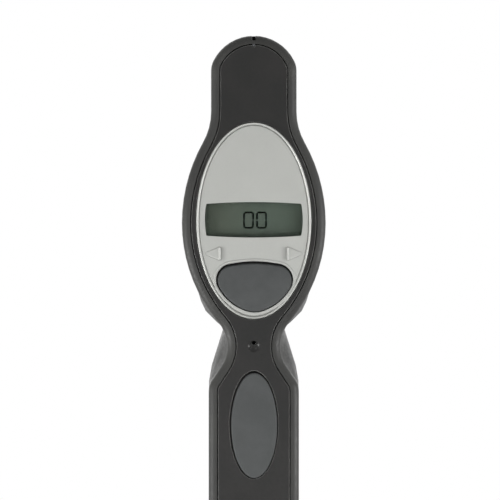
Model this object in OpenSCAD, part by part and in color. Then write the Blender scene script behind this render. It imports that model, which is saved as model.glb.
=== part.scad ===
// Hand-held rebound tonometer: a slim battery handle, a waist and an oval head with a display,
// a probe nose on the far side and a forehead rest that a thumb wheel winds in and out.
// Frame: +Z up the handle, the display faces -Y, the probe points along +Y. Millimetres.

/* [Body outline] */
// Width across the widest part of the head
head_w = 31.9; // [31.6:0.1:33]
// Height of the widest part of the head above the waist
head_rise = 27.3; // [27:0.1:28.3]
// Radius of the head's upper flank
head_upper_r = 36.5; // [36:0.1:38]
// Width of the straight part above the head
top_w = 18.96; // [18.8:0.02:19.4]
// Length of the straight part above the head
top_straight = 9.04; // [8.6:0.02:14]
// Radius of the rounded top end
top_r = 10; // [9.8:0.1:10.4]
// Radius that softens the top end into the straight sides
top_corner_r = 5; // [4.8:0.1:5.6]
// Radius of the concave shoulder between top and head
shoulder_r = 13.8; // [12:0.1:14.4]
// Width of the narrow rim at the waist, on the display side
waist_w = 11.76; // [11.6:0.02:12.4]
// Height of the waist above the battery tray
waist_rise = 28.1; // [27.9:0.1:32]
// Radius of the waist
waist_r = 7.95; // [7.7:0.05:8.2]
// Slope of the waist's lower side from vertical
waist_slope = 34; // [32:1:36]
// Radius where the waist runs into the handle
hip_r = 4.6; // [4.5:0.05:5.2]

/* [Body depth] */
// Space between the battery tray and the handle's walls in front of it and behind it
tray_space = 4.1; // [4:0.1:5.6]
// Space from a cell to the outside of the handle's flank
flank_space = 2.9; // [2.8:0.1:3.6]
// How far the head stands in front of the middle of the handle
head_front = 39; // [38:0.5:41]
// How far the top stands in front of the middle of the handle
top_front = 25; // [24.5:0.5:28]
// How far the finger groove stands in front of the middle of the handle
groove_front = 15; // [14:0.5:18]
// Radius of the rim round the display side
rim_r = 1.85; // [1.7:0.05:2]
// Radius of the front edges
front_r = 4.5; // [3.5:0.1:4.5]
// How much each flank of the head draws in towards the nose
head_taper = 3.2; // [2:0.1:3.6]
// Wall of the two half shells
wall = 2; // [1.8:0.1:2.1]
// Height of the cap that closes the handle's end
cap_h = 8; // [7.5:0.1:8.5]

/* [Panel and display] */
// Thickness of the back panel
panel_t = 2.4; // [2.2:0.1:2.6]
// Half width of the silver oval
bezel_a = 12.75; // [12.5:0.05:12.9]
// Half height of the silver oval
bezel_b = 21.75; // [21.5:0.05:21.9]
// Width of the display window
window_w = 21.8; // [20:0.1:22]
// Height of the display window at its middle
window_h = 7.96; // [7:0.1:8.4]
// Width of the measurement button
button_w = 16.6; // [15.6:0.1:17]
// Height of the measurement button
button_h = 10.9; // [10.4:0.1:11.3]
// Travel of the measurement button
button_travel = 0.8; // [0.4:0.1:0.8]
// Length of a selector key, base to point
key_l = 3.5; // [3:0.1:3.7]
// Height of a selector key
key_h = 3; // [2.6:0.1:3.2]
// Travel of a selector key
key_travel = 0.5; // [0.3:0.1:0.5]
// Width of the grip pad in the handle
grip_w = 10.6; // [9:0.1:12]
// Height of the grip pad in the handle
grip_h = 23.7; // [20:0.1:24]

/* [Probe nose] */
// Radius of the nose housing
nose_r = 10.5; // [10.2:0.1:10.6]
// Tip of the collar in front of the middle of the handle
collar_tip = 57.5; // [57:0.5:60]
// Radius of the collar at its back
collar_r = 8.4; // [8.2:0.1:8.8]
// Radius of the probe's round tip
tip_r = 0.9; // [0.8:0.05:0.95]
// Radius of the probe's steel wire
wire_r = 0.2; // [0.15:0.05:0.3]
// Length of the probe
probe_l = 40; // [36:0.5:42]

/* [Forehead rest] */
// Module of the rack and its pinion
gear_m = 0.8; // [0.78:0.01:0.82]
// Teeth on the pinion
pinion_n = 10; // [10:1:10]
// Width of the sliding bar
bar_w = 8; // [7:0.1:8.2]
// Height of the sliding bar above its rack
bar_h = 6; // [5:0.1:6.2]
// Travel of the forehead rest
rest_travel = 24; // [16:1:24]
// Radius of the adjusting wheel's dials
dial_r = 7.6; // [7:0.1:7.8]
// Thickness of a dial
dial_t = 2.2; // [1.8:0.1:2.3]
// Ridges round a dial
dial_n = 28; // [20:1:32]

/* [Batteries] */
// Radius of an AA cell
cell_r = 7.1; // [7:0.05:7.15]
// Length of an AA cell without its nub
cell_l = 49.5; // [49:0.1:49.6]
// Length of an AA cell's nub
nub_l = 1; // [0.9:0.1:1.2]
// Length of a contact spring under load
spring_l = 8.2; // [7:0.1:8.4]
// Wire radius of a contact spring
spring_wire_r = 0.4; // [0.3:0.05:0.5]
// Turns of a contact spring
spring_turns = 4; // [3:1:5]

/* [Hidden] */
// Cuts run past the faces that they open by this much
over = 0.6;
// Gap between pieces that only sit beside each other
gap = 0.12;
// Styling gap round the back panel
panel_gap = 0.25;
// Clearance of pieces that slide or turn
slip = 0.15;
// Clearance of a shaft in its bearing
bearing_slip = 0.05;

// Battery places
cell_side = 0.5;
cell_y = cell_r + cell_side;
cell_slack = 0.3;
tray_wall = 1.4;
contact_t = 0.5;
contact_slack = 0.1;
dimple_h = 2.7;
dimple_r = 2.4;
door_rise = 7.5;
door_edge = 1.5;
door_lip = 1.2;
door_top = 12;
door_t = 1.4;
door_seat = 0.05;
door_z0 = cap_h + door_rise;
tray_z0 = door_z0 + door_edge;
column_l = spring_l + 2 * (cell_l + nub_l) + 4 * contact_slack + dimple_h;
tray_z1 = tray_z0 + 2 * (tray_wall + contact_t) + column_l;
tray_half_y = cell_y + cell_r + cell_slack + tray_wall;
door_z1 = tray_z1 + door_top;
door_open_y = cell_y + cell_r + cell_slack;
door_half = door_open_y + door_lip;

half_head = head_w / 2;
half_top = top_w / 2;
half_handle = cell_r + flank_space;
half_waist = waist_w / 2;
handle_front = tray_half_y + wall + tray_space;
back_y = -handle_front;
door_x = half_handle - door_seat;
door_x0 = door_x - door_t;
waist_z = tray_z1 + waist_rise;
head_z = waist_z + head_rise;
panel_in_y = back_y + panel_t;
// Width and thickness of the ledge in the shells that the panel lies on
ledge_w = 1.75;
ledge_t = 1.6;
ledge_in_y = panel_in_y + ledge_t;

// Centres of the outline's arcs, found from where the arcs touch
upper_c = [half_head - head_upper_r, head_z];
shoulder_c = [half_top + shoulder_r,
    head_z + sqrt(pow(head_upper_r + shoulder_r, 2)
        - pow(half_top + shoulder_r - upper_c[0], 2))];
corner_c = [half_top - top_corner_r, shoulder_c[1] + top_straight];
top_c = [0, corner_c[1] - sqrt(pow(top_r - top_corner_r, 2) - pow(corner_c[0], 2))];
corner_a = atan2(corner_c[1] - top_c[1], corner_c[0]);
total_h = top_c[1] + top_r;
shoulder_a = atan2(shoulder_c[1] - head_z, shoulder_c[0] - upper_c[0]);
waist_c = [half_waist + waist_r, waist_z];
waist_reach = half_head - waist_c[0];
head_lower_r = (pow(head_rise, 2) + pow(waist_reach, 2) - pow(waist_r, 2))
    / (2 * (waist_r + waist_reach));
lower_c = [half_head - head_lower_r, head_z];
lower_a = atan2(head_rise, waist_c[0] - lower_c[0]);
slope_top = waist_c + waist_r * [-cos(waist_slope), -sin(waist_slope)];
hip_z = slope_top[1] - (half_handle - slope_top[0]) / tan(waist_slope);
hip_c = [half_handle - hip_r, hip_z - hip_r * tan(waist_slope / 2)];

// The head's skirt ends in a corner this far below its widest part and this far inside it
lip_drop = 19.6;
lip_in = 5.2;
lip_z = head_z - lip_drop;
lip_x = half_head - lip_in;
lip_reach = 3;
lip_upper_slope = 0.47;
lip_lower_slope = 1;
// Below the waist the deeper flanks flare from this far above it and outside it
flare_rise = 3.5;
flare_out = 1.03;
flare_slope = 0.313;
flare_z = waist_z + flare_rise;
flare_x = half_waist + flare_out;

// A point and outward normal on an arc; side is 1 where the body is inside it and -1 where outside
function arc_point(c, r, a, side) =
    [c[0] + r * cos(a), c[1] + r * sin(a), side * cos(a), side * sin(a)];
function arc(c, r, a0, a1, n, side = 1) =
    [for (i = [1:n]) arc_point(c, r, a0 + (a1 - a0) * i / n, side)];
function drop(x, z0, z1, n) = [for (i = [1:n]) [x, z0 + (z1 - z0) * i / n, 1, 0]];

lip_a = asin((head_z - lip_z) / head_lower_r);
flare_a = asin((flare_z - waist_z) / waist_r);
// The handle's front is straight below this height
straight_drop = 21;
straight_z = waist_z - straight_drop;
// The rim's outline down the right side, from the middle of the top to the end cap
rim_line = concat(
    [[0, total_h, 0, 1]],
    arc(top_c, top_r, 90, corner_a, 8),
    arc(corner_c, top_corner_r, corner_a, 0, 4),
    drop(half_top, corner_c[1], shoulder_c[1], 2),
    arc(shoulder_c, shoulder_r, 180, 180 + shoulder_a, 4, -1),
    arc(upper_c, head_upper_r, shoulder_a, 0, 7),
    arc(lower_c, head_lower_r, 0, -lip_a, 8),
    arc(lower_c, head_lower_r, -lip_a, -lower_a, 4),
    arc(waist_c, waist_r, 180 - lower_a, 180 - flare_a, 2, -1),
    arc(waist_c, waist_r, 180 - flare_a, 180 + waist_slope, 8, -1),
    arc(hip_c, hip_r, waist_slope, 0, 4),
    drop(half_handle, hip_c[1], straight_z, 3),
    drop(half_handle, straight_z, cap_h, 1));
function half_at(z) = lookup(-z, [for (p = rim_line) [-p[1], p[0]]]);

// Half width that the deeper flanks reach at outline point p
function flare_at(z) = z > flare_z ? 0 : min(half_handle, flare_x + flare_slope * (flare_z - z));
function lip_at(z) = abs(z - lip_z) > lip_reach ? 0
    : lip_x + min(lip_upper_slope * (z - lip_z), lip_lower_slope * (z - lip_z));
function deep_x(p) = max(p[0], flare_at(p[1]), lip_at(p[1]));

function smooth(t) = let (u = max(0, min(1, t))) u * u * (3 - 2 * u);
function between(z, z0, z1) = smooth((z - z0) / (z1 - z0));
// Heights where the front runs from handle to groove, groove to head and head to top
groove_drop = 5;
head_low_rise = 15;
head_high_rise = 9.5;
top_low_rise = 22;
groove_z = waist_z - groove_drop;
head_low_z = waist_z + head_low_rise;
head_high_z = head_z + head_high_rise;
top_low_z = head_z + top_low_rise;
function front_y(z) = z < groove_z
    ? handle_front + (groove_front - handle_front) * between(z, straight_z, groove_z)
    : z < head_high_z
    ? groove_front + (head_front - groove_front) * between(z, groove_z, head_low_z)
    : head_front + (top_front - head_front) * between(z, head_high_z, top_low_z);
function taper_at(z) = head_taper * between(z, waist_z, head_low_z)
    * (1 - between(z, head_z, top_low_z));

// Depths from the back at which the scoop beside the waist starts, is half out and is full
scoop_start = 3.35;
scoop_half = 6.5;
scoop_full = 11;
scoop_half_share = 0.6;
scoop_start_y = back_y + scoop_start;
scoop_half_y = back_y + scoop_half;
scoop_full_y = back_y + scoop_full;
rim_steps = 4;
front_steps = 4;
// The flanks draw in from here to the front
taper_start = 18;
taper_y = back_y + taper_start;

function deep_share(y) =
    lookup(y, [[scoop_start_y, 0], [scoop_half_y, scoop_half_share], [scoop_full_y, 1]]);
// One point of the skin at outline point p and depth y, drawn in by d
function skin_point(p, d, y) =
    [p[0] + (deep_x(p) - p[0]) * deep_share(y) - d * p[2], y, p[1] - d * p[3]];
function taper_d(p, y) = taper_at(p[1]) * pow(max(0, (y - taper_y) / (front_y(p[1]) - taper_y)), 2);
function rim_row(p) = [for (k = [0:rim_steps]) let (a = 90 * k / rim_steps)
    skin_point(p, rim_r * (1 - sin(a)), back_y + rim_r * (1 - cos(a)))];
// The skin's points from the back edge to the front edge at outline point p, drawn in by w
function skin_row(p, w) = let (f = front_y(p[1]) - w, r = max(front_r - w, front_r / 2),
    mid_y = (scoop_full_y + f - r) / 2)
    concat(w > 0 ? [skin_point(p, w, ledge_in_y)] : concat(rim_row(p), [skin_point(p, 0, scoop_start_y)]),
        [for (y = [scoop_half_y, scoop_full_y, mid_y]) skin_point(p, w + taper_d(p, y), y)],
        [for (k = [0:front_steps]) let (a = 90 * k / front_steps, y = f - r * (1 - sin(a)))
            skin_point(p, w + taper_d(p, y) + r * (1 - cos(a)), y)]);

// Half of a body: its skin on the right, flat at x = x0, made of rows of equal length
module half_solid(rows, x0 = 0) {
    n = len(rows);
    m = len(rows[0]);
    flat_row = function (r) concat([[x0, r[0][1], r[0][2]]], r, [[x0, r[m - 1][1], r[m - 1][2]]]);
    // The first row lies on the flat face, so it only has its own points
    first = [for (p = rows[0]) [x0, p[1], p[2]]];
    points = concat(first, [for (i = [1:n - 1]) each flat_row(rows[i])]);
    at = function (i, j) i == 0 ? max(0, min(m - 1, j - 1)) : m + (i - 1) * (m + 2) + j;
    skin = [for (i = [0:n - 2], j = [0:m]) each
        let (a = at(i, j), b = at(i, j + 1), c = at(i + 1, j + 1), d = at(i + 1, j))
        a == b ? [[a, c, d]] : [[a, c, d], [a, b, c]]];
    flat_top = [for (j = [0:m - 1]) [at(1, 0), j == m - 1 ? at(1, m + 1) : j + 1, j]];
    flat_face = [for (i = [1:n - 2]) each
        let (a = at(i, 0), b = at(i + 1, 0), c = at(i + 1, m + 1), d = at(i, m + 1))
        [[a, c, d], [a, b, c]]];
    foot = [for (j = [1:m]) [at(n - 1, 0), at(n - 1, j), at(n - 1, j + 1)]];
    polyhedron(points, concat(skin, flat_top, flat_face, foot));
}

// The rim's outline in x and z, drawn in by d, and its two sides closed between two heights
function inset_side(d) = [for (p = rim_line) [p[0] - d * p[2], p[1] - d * p[3]]];
function x_on(side, z) = lookup(-z, [for (q = side) [-q[1], q[0]]]);
function inset_outline(d, z0 = 0, z1 = total_h) = let (side = inset_side(d),
    low = max(z0, side[len(side) - 1][1]),
    high = z1 < side[0][1] ? [[x_on(side, z1), z1]] : [],
    right = concat(high, [for (q = side) if (q[1] > low && q[1] <= z1) q], [[x_on(side, low), low]]))
    concat(right, [for (i = [len(right) - 1:-1:0]) if (right[i][0] > 0) [-right[i][0], right[i][1]]]);

// Stands a drawing in x and z up between the depths y0 and y1
module slab(y0, y1) {
    translate([0, y1, 0]) rotate([90, 0, 0]) linear_extrude(y1 - y0) children();
}
// Stands a drawing in y and z up between x0 and x1
module side_slab(x0, x1) {
    translate([x0, 0, 0]) rotate([90, 0, 90]) linear_extrude(x1 - x0) children();
}
// Round bars along X and Y
module rod_x(r, x0, x1, y, z, fn = 48) {
    translate([x0, y, z]) rotate([0, 90, 0]) cylinder(r = r, h = x1 - x0, $fn = fn);
}
module rod_y(r, y0, y1, x, z, fn = 48) {
    translate([x, y0, z]) rotate([-90, 0, 0]) cylinder(r = r, h = y1 - y0, $fn = fn);
}
module block(x0, x1, y0, y1, z0, z1) {
    translate([x0, y0, z0]) cube([x1 - x0, y1 - y0, z1 - z0]);
}
module both_sides() {
    children();
    mirror([1, 0, 0]) children();
}

function ellipse(a, b, n) = [for (i = [0:n - 1]) [a * cos(360 * i / n), b * sin(360 * i / n)]];
// Stacked ovals: each ring is [how far it is drawn in, depth y], from the inside outwards
module oval_stack(a, b, rings, n, z) {
    m = len(rings);
    points = [for (r = rings) each [for (p = ellipse(a - r[0], b - r[0], n)) [p[0], r[1], z + p[1]]]];
    faces = concat([[for (i = [0:n - 1]) i]],
        [for (k = [0:m - 2], i = [0:n - 1]) let (j = (i + 1) % n) each
            [[k * n + i, (k + 1) * n + i, (k + 1) * n + j], [k * n + i, (k + 1) * n + j, k * n + j]]],
        [[for (i = [n - 1:-1:0]) (m - 1) * n + i]]);
    polyhedron(points, faces);
}

// Wheel, rack and pinion
wheel_rise = 3.5;
wheel_z = top_low_z + wheel_rise;
wheel_y = 10;
pitch_r = gear_m * pinion_n / 2;
tooth_pitch = PI * gear_m;
rack_z = wheel_z + pitch_r;
addendum = 0.8 * gear_m;
dedendum = 1.15 * gear_m;
backlash = 0.12;
shaft_r = 2;
bar_z0 = rack_z + dedendum;
bar_z1 = bar_z0 + bar_h;
// The bar reaches this far behind the pinion when the rest is wound out
bar_tail = 4;
bar_back = wheel_y - rest_travel - bar_tail;
bar_out = 1;
bar_front = top_front + bar_out;
tenon_in = 1.5;
tenon_l = 2.5;

// Nose stations along Y
probe_drop = 1.5;
probe_z = head_z - probe_drop;
nose_seat_y = head_front - 2 * front_r - wall;
flange_t = 3;
flange_y = head_front - front_r - flange_t + gap;
flange_out = 1.3;
flange_r = nose_r + flange_out;
nose_out = 3;
cone_l = 5;
neck_l = 6;
neck_r = 6.6;
cone_y = head_front + nose_out;
neck_y = cone_y + cone_l;
neck_end = neck_y + neck_l;
barrel_y = 3;
barrel_r = 9;
barrel_wall = 1.3;
bore_r = barrel_r - barrel_wall;
base_r = 3.2;
base_flange_r = 4.9;
base_flange_t = 1.4;
base_cap_t = 0.8;
base_back = barrel_y + wall;
base_end = neck_end + base_flange_t;
bobbin_wall = 1.05;
bobbin_inner_r = base_r + slip;
bobbin_r = bobbin_inner_r + bobbin_wall;
bobbin_y0 = base_back;
bobbin_tail = 6;
bobbin_y1 = nose_seat_y + bobbin_tail;
bobbin_flange_t = 1;
coil_gap = 0.25;
coil_r = bore_r - coil_gap;
winding_in = 0.3;

// Door lock
lock_drop = 5.5;
lock_z = door_z1 - lock_drop;
lock_r = 3.8;
lock_head_t = 0.9;
lock_shank_r = 1.8;
lock_shank_x = half_handle / 3;

// Screws as [depth, height]: top, below the nose, hip and foot
screw_r = 1.1;
screw_head_r = 2.4;
screw_head_t = 1.8;
screw_head_x = -half_handle / 2;
screw_end_x = half_handle / 2;
boss_r = 3.1;
top_screw_y = -10;
top_screw_drop = 17.5;
nose_screw_y = 12;
nose_screw_drop = 15;
hip_screw_y = -4.5;
foot_screw_rise = 4.3;
screw_places = [
    [top_screw_y, total_h - top_screw_drop],
    [nose_screw_y, probe_z - nose_screw_drop],
    [hip_screw_y, hip_c[1] - screw_r],
    [0, cap_h + foot_screw_rise]
];
// A boss reaches into the wall that is nearest at its own height
function boss_x(z) = min(half_at(z - boss_r), half_at(z + boss_r)) - wall / 2;

// Groove that marks the parting of the shells: over the top end and down the front
groove_half = 0.42;
top_groove_d = 1.1;
front_groove_d = 0.5;
module parting_groove() {
    front = [for (p = rim_line) if (p[1] < total_h - top_groove_d) p[1]];
    block(-over, groove_half, back_y - over, top_front - front_r, total_h - top_groove_d, total_h + over);
    side_slab(-over, groove_half) polygon(concat(
        [for (z = front) [front_y(z) + over, z]],
        [for (i = [len(front) - 1:-1:0]) [front_y(front[i]) - front_groove_d, front[i]]]));
}

dial_chamfer = 0.8;
module shell_cuts() {
    // Rebate for the back panel, and the opening behind it
    slab(back_y - over, panel_in_y) polygon(inset_outline(rim_r));
    slab(back_y, ledge_in_y + over) polygon(inset_outline(rim_r + ledge_w, cap_h + ledge_w));
    // Nose bore and the groove for its flange
    rod_y(nose_r + gap, nose_seat_y - over, head_front + over, 0, probe_z, 96);
    rod_y(flange_r + gap, flange_y, flange_y + flange_t + gap, 0, probe_z, 96);
    // Slot of the forehead rest's bar
    block(-bar_w / 2 - slip, bar_w / 2 + slip, top_front - front_r, top_front + over,
        rack_z - addendum - slip, bar_z1 + slip);
    // Window that a dial of the wheel turns in, eased for a fingertip
    rod_x(dial_r + slip, half_top - wall - over, half_head, wheel_y, wheel_z, 96);
    translate([half_top - dial_chamfer, wheel_y, wheel_z]) rotate([0, 90, 0])
        cylinder(r1 = dial_r + slip, r2 = dial_r + slip + 2 * dial_chamfer, h = 2 * dial_chamfer,
            $fn = 96);
}

module shell_half() {
    difference() {
        half_solid([for (p = rim_line) skin_row(p, 0)]);
        difference() {
            half_solid([for (p = rim_line) skin_row(p, wall)], -over);
            // Solid ring that holds the nose housing, and the screw bosses
            rod_y(flange_r + wall, nose_seat_y, head_front, 0, probe_z, 96);
            for (s = screw_places) rod_x(boss_r, -over, boss_x(s[1]), s[0], s[1]);
        }
        shell_cuts();
        parting_groove();
    }
}

module door_outline(grow) {
    hull() for (y = [-1, 1], z = [door_z0, door_z1])
        translate([y * (door_half - door_edge), z + (z < lock_z ? door_edge : -door_edge)])
            circle(door_edge + grow, $fn = 32);
}

module left_shell() {
    post_end = door_x0 - gap - door_lip;
    color("#3c3c3b") difference() {
        union() {
            mirror([1, 0, 0]) shell_half();
            // Post that the door's lock turns in
            rod_x(boss_r, -half_handle + wall / 2, post_end, 0, lock_z);
        }
        for (s = screw_places) {
            rod_x(screw_r + slip, screw_head_x - over, over, s[0], s[1]);
            rod_x(screw_head_r + slip, -half_head, screw_head_x, s[0], s[1]);
        }
        rod_x(lock_shank_r + bearing_slip, 0, half_handle, 0, lock_z);
    }
}

module right_shell() {
    color("#3c3c3b") difference() {
        shell_half();
        for (s = screw_places)
            rod_x(screw_r + bearing_slip, -over, screw_end_x + over, s[0], s[1]);
        // Rebate of the door and a smaller hole through the wall
        side_slab(door_x0 - door_seat, half_handle + over) door_outline(gap);
        side_slab(half_handle - wall - over, half_handle) door_outline(-door_lip);
    }
}

// End cap: the handle's own section, with a plug and a cross hole for a strap
cap_edge = 1.2;
plug_h = 3;
strap_r = 1.7;
strap_in = 6;
strap_y = back_y + strap_in;
strap_z = cap_h / 2;
function handle_section() = let (h = [for (q = skin_row([half_handle, cap_h, 1, 0], 0)) [q[0], q[1]]])
    concat(h, [for (i = [len(h) - 1:-1:0]) [-h[i][0], h[i][1]]]);
module end_cap() {
    plug_x = half_handle - wall - slip;
    foot_boss = boss_r + slip;
    color("#333333") difference() {
        union() {
            hull() {
                linear_extrude(gap) offset(delta = -cap_edge) polygon(handle_section());
                translate([0, 0, cap_edge]) linear_extrude(cap_h - cap_edge)
                    polygon(handle_section());
            }
            block(-plug_x, plug_x, ledge_in_y + slip, -foot_boss, cap_h - over, cap_h + plug_h);
            block(-plug_x, plug_x, foot_boss, handle_front - front_r, cap_h - over, cap_h + plug_h);
        }
        rod_x(strap_r, -half_handle - over, half_handle + over, strap_y, strap_z);
    }
}

// Where the bezel and what it carries stand
bezel_rise = 0.5;
bezel_z = head_z + bezel_rise;
bezel_proud = 0.6;
bezel_seat = 1.3;
bezel_floor = 0.1;
bezel_ledge = 0.8;
crest_y = back_y - bezel_proud;
floor_y = back_y - bezel_floor;
seat_y = back_y + bezel_seat;
lip_w = 0.66;
lip_groove = 0.3;
overlay_t = 0.3;
overlay_y = floor_y - overlay_t;
// Pocket of the grip pad, and sound hole of the buzzer in the upper part of a round dish
grip_depth = 1.5;
grip_drop = 17.4;
grip_z = waist_z - grip_drop;
port_r = 0.42;
port_rise = 0.75;
port_z = waist_z + port_rise;
dish_r = 1.3;
dish_d = 0.5;
dish_ball_r = (pow(dish_r, 2) + pow(dish_d, 2)) / (2 * dish_d);
module bezel_outline(grow) {
    translate([0, bezel_z]) polygon(ellipse(bezel_a + grow, bezel_b + grow, 72));
}
module back_panel() {
    color("#2f2f2e") difference() {
        slab(back_y, panel_in_y) polygon(inset_outline(rim_r + panel_gap, cap_h + gap));
        slab(back_y - over, seat_y) bezel_outline(gap);
        slab(back_y, panel_in_y + over) bezel_outline(-bezel_ledge);
        slab(back_y - over, back_y + grip_depth) translate([0, grip_z])
            polygon(ellipse(grip_w / 2 + gap, grip_h / 2 + gap, 60));
        // Sound hole with its dish, and the small notch at the top
        rod_y(port_r, back_y - over, panel_in_y + over, 0, port_z);
        translate([0, back_y + dish_d - dish_ball_r, waist_z]) sphere(dish_ball_r, $fn = 48);
        rod_y(groove_half, back_y - over, panel_in_y + over, 0, total_h - rim_r - panel_gap);
    }
}

// The window's edges bow outwards a little
window_rise = 0.2;
window_bow = 0.4;
window_side_bow = 0.35;
window_steps = 8;
function bowed(w, h, bow) = [for (i = [0:window_steps - 1]) let (t = 1 - 2 * i / window_steps)
    [w * t, h - bow * t * t]];
function window_points(grow) = let (
    w = window_w / 2 + grow, h = window_h / 2 + grow,
    long = bowed(w - window_side_bow, h, window_bow),
    short = bowed(h - window_bow, w, window_side_bow))
    concat(long, [for (q = short) [-q[1], q[0]]],
        [for (q = long) [-q[0], -q[1]]], [for (q = short) [q[1], -q[0]]]);
module window_shape(grow) {
    translate([0, bezel_z + window_rise]) polygon(window_points(grow));
}

// Rounded triangle of the measurement button, with a bowed top edge and bowed flanks
button_drop = 9.3;
button_top_z = bezel_z - button_drop;
button_bow = 0.6;
button_corner_r = 3.2;
button_foot_r = 5.9;
button_flank_r = 11;
button_steps = 8;
button_corner = [button_w / 2 - button_corner_r, button_top_z - button_bow - button_corner_r];
button_foot = [0, button_top_z - button_h + button_foot_r];
button_bow_r = (pow(button_corner[0], 2) + pow(button_bow, 2)) / (2 * button_bow);
// Centre of a flank's arc, which runs smoothly out of the corner's circle and into the foot's
button_side = button_foot - button_corner;
button_reach = norm(button_side);
button_far = [button_flank_r - button_corner_r, button_flank_r - button_foot_r];
button_along = (pow(button_far[0], 2) - pow(button_far[1], 2) + pow(button_reach, 2)) / (2 * button_reach);
button_across = sqrt(pow(button_far[0], 2) - pow(button_along, 2));
button_flank_c = button_corner
    + (button_along * button_side + button_across * [button_side[1], -button_side[0]]) / button_reach;
function toward(p) = atan2(p[1] - button_flank_c[1], p[0] - button_flank_c[0]);
function button_flank(grow) = let (a0 = toward(button_corner), a1 = toward(button_foot))
    [for (i = [0:button_steps]) let (a = a0 + (a1 - a0) * i / button_steps)
        button_flank_c + (button_flank_r + grow) * [cos(a), sin(a)]];
module button_shape(grow) {
    hull() {
        both_sides() polygon(button_flank(grow));
        both_sides() translate(button_corner) circle(button_corner_r + grow, $fn = 32);
        translate(button_foot) circle(button_foot_r + grow, $fn = 48);
        intersection() {
            translate([0, button_top_z - button_bow_r]) circle(button_bow_r + grow, $fn = 240);
            translate([-button_corner[0], button_corner[1]])
                square([2 * button_corner[0], 2 * button_corner_r]);
        }
    }
}

// A selector key's triangle, its base towards the middle
key_drop = 7.3;
key_z = bezel_z - key_drop;
key_x = 7.2;
key_round = 0.35;
module key_shape(grow) {
    translate([key_x, key_z]) hull() {
        for (s = [-1, 1]) translate([key_round, s * (key_h / 2 - key_round)])
            circle(key_round + grow, $fn = 16);
        translate([key_l - key_round, 0]) circle(key_round + grow, $fn = 16);
    }
}

key_clear = 0.1;
module face_openings(y0, y1) {
    slab(y0, y1) window_shape(0);
    slab(y0, y1) button_shape(slip);
    both_sides() slab(y0, y1) key_shape(key_clear);
}

// The lip's profile: [drawn in, depth], from its seat over the crest to the floor
function lip_rings() = [[0, seat_y], [0, crest_y + lip_w * 0.35], [lip_w * 0.12, crest_y + lip_w * 0.1],
    [lip_w * 0.3, crest_y], [lip_w * 0.5, crest_y + lip_w * 0.06], [lip_w * 0.75, crest_y + lip_w * 0.3],
    [lip_w, floor_y]];
module display_bezel() {
    color("#b9bab7") difference() {
        oval_stack(bezel_a, bezel_b, lip_rings(), 60, bezel_z);
        face_openings(crest_y - over, seat_y + over);
    }
}

module keypad_overlay() {
    color("#b3b4b1") difference() {
        slab(overlay_y, floor_y) bezel_outline(-lip_w - lip_groove);
        face_openings(overlay_y - over, back_y);
    }
}

lens_t = 1.2;
lens_in = 0.1;
module display_window() {
    color("#7f8a80", 0.4) slab(back_y + lens_in, back_y + lens_in + lens_t) window_shape(-gap / 2);
}

// Display, its holder and the circuit board stand behind the bezel
lcd_t = 1.8;
lcd_side = 0.3;
lcd_w = window_w + 2 * lcd_side;
lcd_h = 11.5;
lcd_rise = 1;
lcd_rim = 2;
lcd_z = bezel_z + lcd_rise;
lcd_y = seat_y + gap;
board_in = 8;
board_t = 1.6;
board_y = back_y + board_in;
board_low = 1;
board_high = 8;
board_z0 = button_top_z - button_h - board_low;
board_z1 = head_high_z + board_high;
module lcd_glass() {
    color("#59635a")
        block(-lcd_w / 2, lcd_w / 2, lcd_y, lcd_y + lcd_t, lcd_z - lcd_h / 2, lcd_z + lcd_h / 2);
}
module lcd_holder() {
    x = lcd_w / 2;
    z = lcd_h / 2;
    color("#d8d8d4") difference() {
        block(-x, x, lcd_y + lcd_t, board_y, lcd_z - z, lcd_z + z);
        block(-x + lcd_rim, x - lcd_rim, lcd_y, board_y + over, lcd_z - z + lcd_rim, lcd_z + z - lcd_rim);
    }
}

board_hole_r = 1.1;
module circuit_board() {
    color("#1f5c38") difference() {
        slab(board_y, board_y + board_t) polygon(inset_outline(wall + slip, board_z0, board_z1));
        for (z = [board_z0 + 2 * board_hole_r, board_z1 - 2 * board_hole_r])
            rod_y(board_hole_r, board_y - over, board_y + board_t + over, 0, z);
    }
}

// Chips as shares of the board: [x, z, width, height], with x and z from its middle
chip_t = 1.3;
chip_shares = [[0, 0, 0.4, 0.24], [-0.22, -0.28, 0.22, 0.13], [0.22, 0.2, 0.26, 0.12],
    [-0.16, 0.4, 0.06, 0.03], [0, 0.4, 0.06, 0.03], [0.16, 0.4, 0.06, 0.03]];
cap_shares = [[-0.25, 0.26], [0.24, -0.3]];
capacitor_r = 2;
capacitor_h = 4;
module board_chips() {
    y = board_y + board_t;
    w = 2 * half_at(lcd_z) - 2 * wall;
    h = board_z1 - board_z0;
    z = (board_z0 + board_z1) / 2;
    color("#222222") union() {
        for (c = chip_shares) block((c[0] - c[2] / 2) * w, (c[0] + c[2] / 2) * w, y, y + chip_t,
            z + (c[1] - c[3] / 2) * h, z + (c[1] + c[3] / 2) * h);
        for (c = cap_shares) rod_y(capacitor_r, y, y + capacitor_h, c[0] * w, z + c[1] * h, 32);
    }
}

switch_h = 3.4;
plunger_h = 1;
plunger_y = board_y - switch_h - plunger_h;
key_stem_x = key_x + key_l * 0.35;
button_switch_w = 5;
key_switch_w = 3;
module switch_body(x, z, w) {
    block(x - w / 2, x + w / 2, board_y - switch_h, board_y, z - w / 2, z + w / 2);
    rod_y(w * 0.3, plunger_y, board_y - switch_h, x, z, 24);
}
module key_switches() {
    color("#1c1c1c") union() {
        switch_body(0, button_foot[1], button_switch_w);
        both_sides() switch_body(key_stem_x, key_z, key_switch_w);
    }
}

buzzer_r = 3.3;
buzzer_t = 2.6;
module buzzer() {
    color("#2a2a2a") difference() {
        rod_y(buzzer_r, ledge_in_y, ledge_in_y + buzzer_t, 0, waist_z);
        rod_y(port_r, ledge_in_y - over, ledge_in_y + buzzer_t / 2, 0, port_z, 24);
    }
}

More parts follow.
